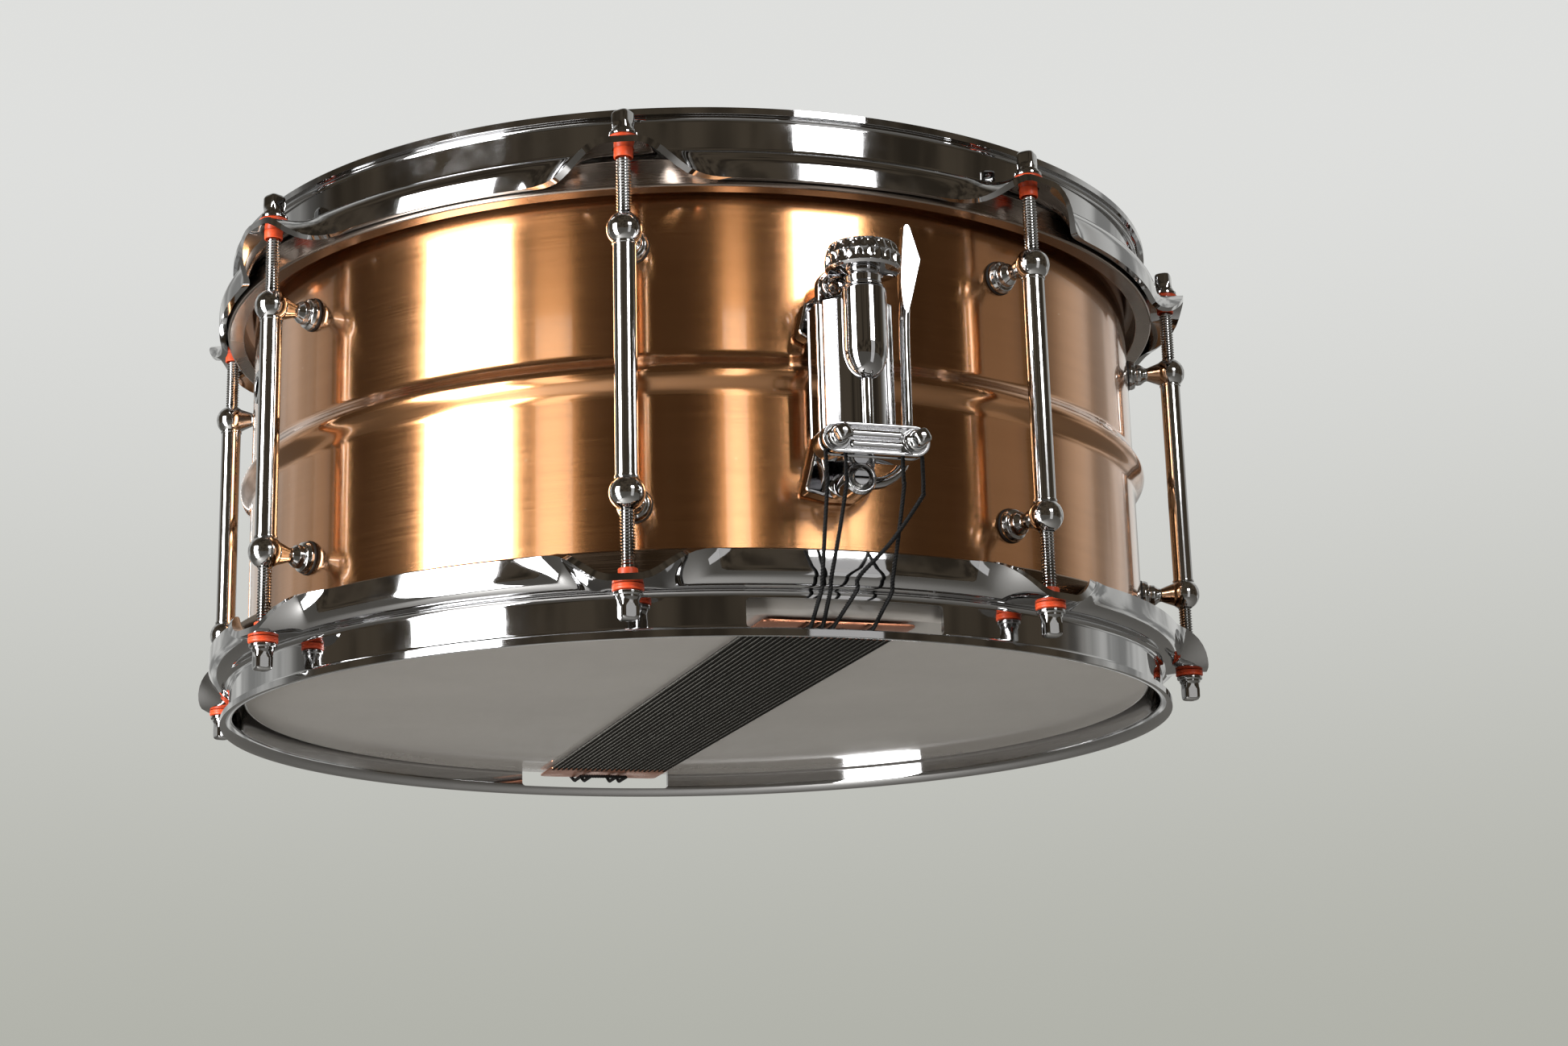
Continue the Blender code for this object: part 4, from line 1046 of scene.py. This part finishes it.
STRANDS = 24
COIL_RADIUS = 0.72 * MM
WIRE_RADIUS = 0.25 * MM
COIL_PITCH = 1.35 * MM


def coil_mesh(length):
    """One close-wound strand along Y."""
    turns = round(length / COIL_PITCH)
    steps = turns * 8
    sides = 4

    def point(column, row):
        angle = TURN * row / 8
        outwards = Vector((math.cos(angle), 0.0, math.sin(angle)))
        spoke = TURN * column / sides
        reach = COIL_RADIUS + WIRE_RADIUS * math.cos(spoke)
        along = length * (row / steps - 0.5) + WIRE_RADIUS * math.sin(spoke)
        return (outwards.x * reach, along, outwards.z * reach)

    return surface("coil", point, sides, steps + 1, caps=True)


def make_wires():
    low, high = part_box("snare_wires")
    top = high.z - MIDDLE
    height = top - COIL_RADIUS - WIRE_RADIUS - 0.05 * MM
    half = 26.5 * MM - COIL_RADIUS - WIRE_RADIUS
    coil = coil_mesh(304.0 * MM)
    parts = []
    for k in range(STRANDS):
        x = -half + 2 * half * k / (STRANDS - 1)
        phase = Matrix.Rotation(0.7 * k, 4, "Y")
        parts.append((coil, Matrix.Translation((x, 0, height)) @ phase))
    piece("wire_band", joined("wire_band", parts), "snares", "wire", IDENTITY, ["snare_wires"], sharp=80)
    for side in (-1, 1):
        corners = rounded(mm((-27.1, 149.0, 1.5), (27.1, 149.0, 1.5), (27.1, 173.5, 2.5), (-27.1, 173.5, 2.5)), True)
        strip = bevelled(slab("end_plate", [(x, side * y) for x, y in corners], top - 1.55 * MM, top - 0.75 * MM), 0.25 * MM, 2)
        piece(f"end_plate_{'front' if side < 0 else 'back'}", strip, "snares", "copper")


CORD_RADIUS = 0.8 * MM


def twisted(name, path, radius=CORD_RADIUS, plies=3):
    """A cord of twisted plies along a path."""
    mesh_parts = []
    lengths = [0.0]
    for a, b in zip(path, path[1:]):
        lengths.append(lengths[-1] + (b - a).length)
    tangents = [(path[min(i + 1, len(path) - 1)] - path[max(i - 1, 0)]).normalized() for i in range(len(path))]
    normal = tangents[0].orthogonal().normalized()
    frames = []
    for tangent in tangents:
        normal = (normal - tangent * normal.dot(tangent)).normalized()
        frames.append((normal.copy(), tangent.cross(normal)))
    ply = radius * 0.56
    for k in range(plies):

        def point(column, row, k=k):
            u, v = frames[row]
            twist = TURN * (lengths[row] / (3.4 * MM) + k / plies)
            spoke = TURN * column / 8
            centre = path[row] + (u * math.cos(twist) + v * math.sin(twist)) * (radius - ply)
            return tuple(centre + (u * math.cos(spoke) + v * math.sin(spoke)) * ply)

        mesh_parts.append((surface(name, point, 8, len(path), caps=True), IDENTITY))
    return joined(name, mesh_parts)


def cord_path(corners, spacing=0.35 * MM):
    """An evenly sampled smooth path through corners."""
    total = sum(math.dist(a, b) for a, b in zip(corners, corners[1:]))
    return [Vector(p) for p in smooth_path(corners, max(12, int(total / spacing)))]


def strand(side, xs, depth, top, leave, corner_depth):
    """One length of cord from its clamp over the hoop's corner to the run under the end plate.

    xs are its places across the drum in the clamp, at the hoop's corner and under the plate."""
    corner = -76.8
    middle = (xs[0] + xs[1]) / 2
    return mm(
        (xs[0], side * depth, top),
        (xs[0], side * depth, leave + 1.5),
        (xs[0] + (xs[1] - xs[0]) * 0.06, side * (depth - 0.4), leave - 2.0),
        (middle, side * (depth + corner_depth) / 2, (leave + corner) / 2 - 1.0),
        (xs[1] - (xs[1] - xs[0]) * 0.03, side * (corner_depth + 0.8), corner + 3.0),
        (xs[1], side * (corner_depth - 0.7), corner - 1.1),
        ((xs[1] + xs[2]) / 2, side * (corner_depth - 8.5), -81.9),
        (xs[2], side * 175.6, -86.2),
        (xs[2], side * 172.0, -86.6),
        (xs[2], side * 166.0, -86.6),
        (xs[2], side * 161.5, -86.6),
    )


def make_cords():
    clamp = CLAMP_HEIGHT / MM
    front = [
        strand(-1, (-16.5, -12.6, -11.0), 211.5, clamp - 3.5, -46.0, 192.6),
        strand(-1, (-9.8, -9.6, -7.0), 211.5, clamp + 3.5, -46.0, 192.6),
        strand(-1, (9.8, 11.6, 11.0), 211.5, clamp + 3.5, -46.0, 192.6),
        strand(-1, (16.5, -1.0, -3.0), 211.5, clamp - 3.5, -49.5, 194.2),
    ]
    back = [
        strand(1, (x, 0.85 * x, 0.75 * x), 196.0, clamp + rise, -41.5, 192.6)
        for x, rise in ((-14.0, -3.5), (-8.0, 3.5), (8.0, 3.5), (14.0, -3.5))
    ]
    for side, name, strands, node in ((-1, "front_cord", front, "strainer_cord"), (1, "back_cord", back, "butt_cord")):
        parts = [(twisted(f"{name}_{k}", cord_path(line)), IDENTITY) for k, line in enumerate(strands)]
        ends = sorted(line[-1][0] for line in strands)
        run = [(x, side * (161.5 - bow) * MM, -86.6 * MM) for x, bow in ((ends[0], 0), (0.0, 0.8), (ends[-1], 0))]
        parts.append((twisted(f"{name}_run", cord_path(run)), IDENTITY))
        piece(name, joined(name, parts), "snares", "cord", IDENTITY, [node], sharp=80)


# ------------------------------------------------------------------ floor, light and camera


FLOOR_HEIGHT = -1.5
LIGHT_DISTANCE = 1.5
WARM = (1.0, 0.92, 0.82)
FORWARD = Vector((0.29943344, 0.92193581, 0.24571119))


def make_floor():
    floor = block("floor", (-9.0, -9.0, FLOOR_HEIGHT - 0.02), (9.0, 9.0, FLOOR_HEIGHT))
    obj = bpy.data.objects.new("floor", floor)
    bpy.context.scene.collection.objects.link(obj)
    look = Look("floor_paint", (0.57, 0.56, 0.54), 0.6)
    look.tint(look.span(look.noise((1.5, 1.5, 1.5)), 0.4, 0.7, 0.0, 0.3), (0.53, 0.52, 0.50))
    floor.materials.append(look.material)


def softbox(name, azimuth, low, high, width, radiance, lights_up=None):
    """An upright rectangular light facing the drum, of an even radiance, from one height to another.

    Those given a collection are warm, and light up that collection only, which here is the brushed shell."""
    light = bpy.data.lights.new(name, "AREA")
    light.shape = "RECTANGLE"
    light.size = width
    light.size_y = high - low
    light.energy = radiance * 4 * width * (high - low)
    light.color = WARM if lights_up else (1.0, 1.0, 1.0)
    obj = bpy.data.objects.new(name, light)
    bpy.context.scene.collection.objects.link(obj)
    out = Vector((math.cos(math.radians(azimuth)), math.sin(math.radians(azimuth)), 0.0))
    obj.location = out * LIGHT_DISTANCE + Vector((0, 0, (low + high) / 2))
    obj.rotation_euler = out.to_track_quat("Z", "Y").to_euler()
    if lights_up:
        obj.light_linking.receiver_collection = lights_up


def make_world():
    """A pale backdrop for the camera, and for reflections the same backdrop behind and a dim room in front."""
    world = bpy.data.worlds.new("studio")
    bpy.context.scene.world = world
    world.use_nodes = True
    tree = world.node_tree
    nodes, links = tree.nodes, tree.links
    nodes.clear()

    def ramp(value, low, high, dark, pale):
        span = nodes.new("ShaderNodeMapRange")
        span.interpolation_type = "SMOOTHSTEP"
        span.inputs["From Min"].default_value = low
        span.inputs["From Max"].default_value = high
        links.new(value, span.inputs["Value"])
        mix = nodes.new("ShaderNodeMix")
        mix.data_type = "RGBA"
        links.new(span.outputs["Result"], mix.inputs["Factor"])
        mix.inputs["A"].default_value = (*dark, 1.0)
        mix.inputs["B"].default_value = (*pale, 1.0)
        return mix

    direction = nodes.new("ShaderNodeTexCoord").outputs["Generated"]
    parts = nodes.new("ShaderNodeSeparateXYZ")
    links.new(direction, parts.inputs["Vector"])
    facing = nodes.new("ShaderNodeVectorMath")
    facing.operation = "DOT_PRODUCT"
    links.new(direction, facing.inputs[0])
    facing.inputs[1].default_value = Vector((FORWARD.x, FORWARD.y, 0.0)).normalized()
    seen = ramp(parts.outputs["Z"], 0.0, 0.40, (0.435, 0.44, 0.395), (0.735, 0.74, 0.725))
    mirrored = ramp(facing.outputs["Value"], 0.08, 0.52, (0.068, 0.054, 0.038), (0.56, 0.56, 0.54))
    room = nodes.new("ShaderNodeTexNoise")
    room.inputs["Scale"].default_value = 5.0
    room.inputs["Detail"].default_value = 3.0
    links.new(direction, room.inputs["Vector"])
    uneven = ramp(room.outputs["Fac"], 0.36, 0.62, (0.5, 0.5, 0.5), (1.25, 1.25, 1.25))
    shaded = nodes.new("ShaderNodeMix")
    shaded.data_type = "RGBA"
    shaded.blend_type = "MULTIPLY"
    shaded.inputs["Factor"].default_value = 1.0
    links.new(mirrored.outputs["Result"], shaded.inputs["A"])
    links.new(uneven.outputs["Result"], shaded.inputs["B"])
    pick = nodes.new("ShaderNodeMix")
    pick.data_type = "RGBA"
    path = nodes.new("ShaderNodeLightPath")
    links.new(path.outputs["Is Camera Ray"], pick.inputs["Factor"])
    links.new(shaded.outputs["Result"], pick.inputs["A"])
    links.new(seen.outputs["Result"], pick.inputs["B"])
    shade = nodes.new("ShaderNodeBackground")
    links.new(pick.outputs["Result"], shade.inputs["Color"])
    links.new(shade.outputs["Background"], nodes.new("ShaderNodeOutputWorld").inputs["Surface"])


def make_lights():
    """Two tall softboxes and dim strips, low down, in the directions that the shell mirrors."""
    softbox("left_softbox", -160.0, -1.35, 0.53, 0.62, 10.0)
    softbox("front_softbox", -74.1, 0.29, 0.62, 0.43, 10.0)
    softbox("front_reflector", -74.1, -0.9, 0.28, 0.43, 0.45)
    softbox("left_strip", -138.2, -1.2, 0.4, 0.23, 1.9, ONLY_BRONZE)
    softbox("front_strip", -96.3, -1.2, 0.4, 0.14, 2.6, ONLY_BRONZE)
    softbox("right_glow", -28.0, -1.0, 0.9, 0.46, 0.17, ONLY_BRONZE)
    softbox("left_glow", 153.0, -1.0, 0.9, 0.18, 0.26, ONLY_BRONZE)


def make_camera():
    camera = bpy.data.cameras.new("camera")
    camera.sensor_width = 36.0
    camera.lens = 56.98
    camera.clip_start = 0.05
    obj = bpy.data.objects.new("camera", camera)
    bpy.context.scene.collection.objects.link(obj)
    right = Vector((0.95278575, -0.30253037, -0.02597491))
    up = Vector((-0.05038789, -0.24188787, 0.968995))
    turn = Matrix((right, up, -FORWARD)).transposed().to_4x4()
    obj.matrix_world = Matrix.Translation((-0.26666, -0.93627, -0.33830)) @ turn
    bpy.context.scene.camera = obj
    bpy.context.scene.view_settings.view_transform = "Standard"


make_shell()
make_heads()
make_hoops()
make_tensioning()
make_bracket()
make_carriage()
make_knob()
make_clamp()
make_lever()
make_butt()
make_wires()
make_cords()
make_floor()
make_world()
make_lights()
make_camera()
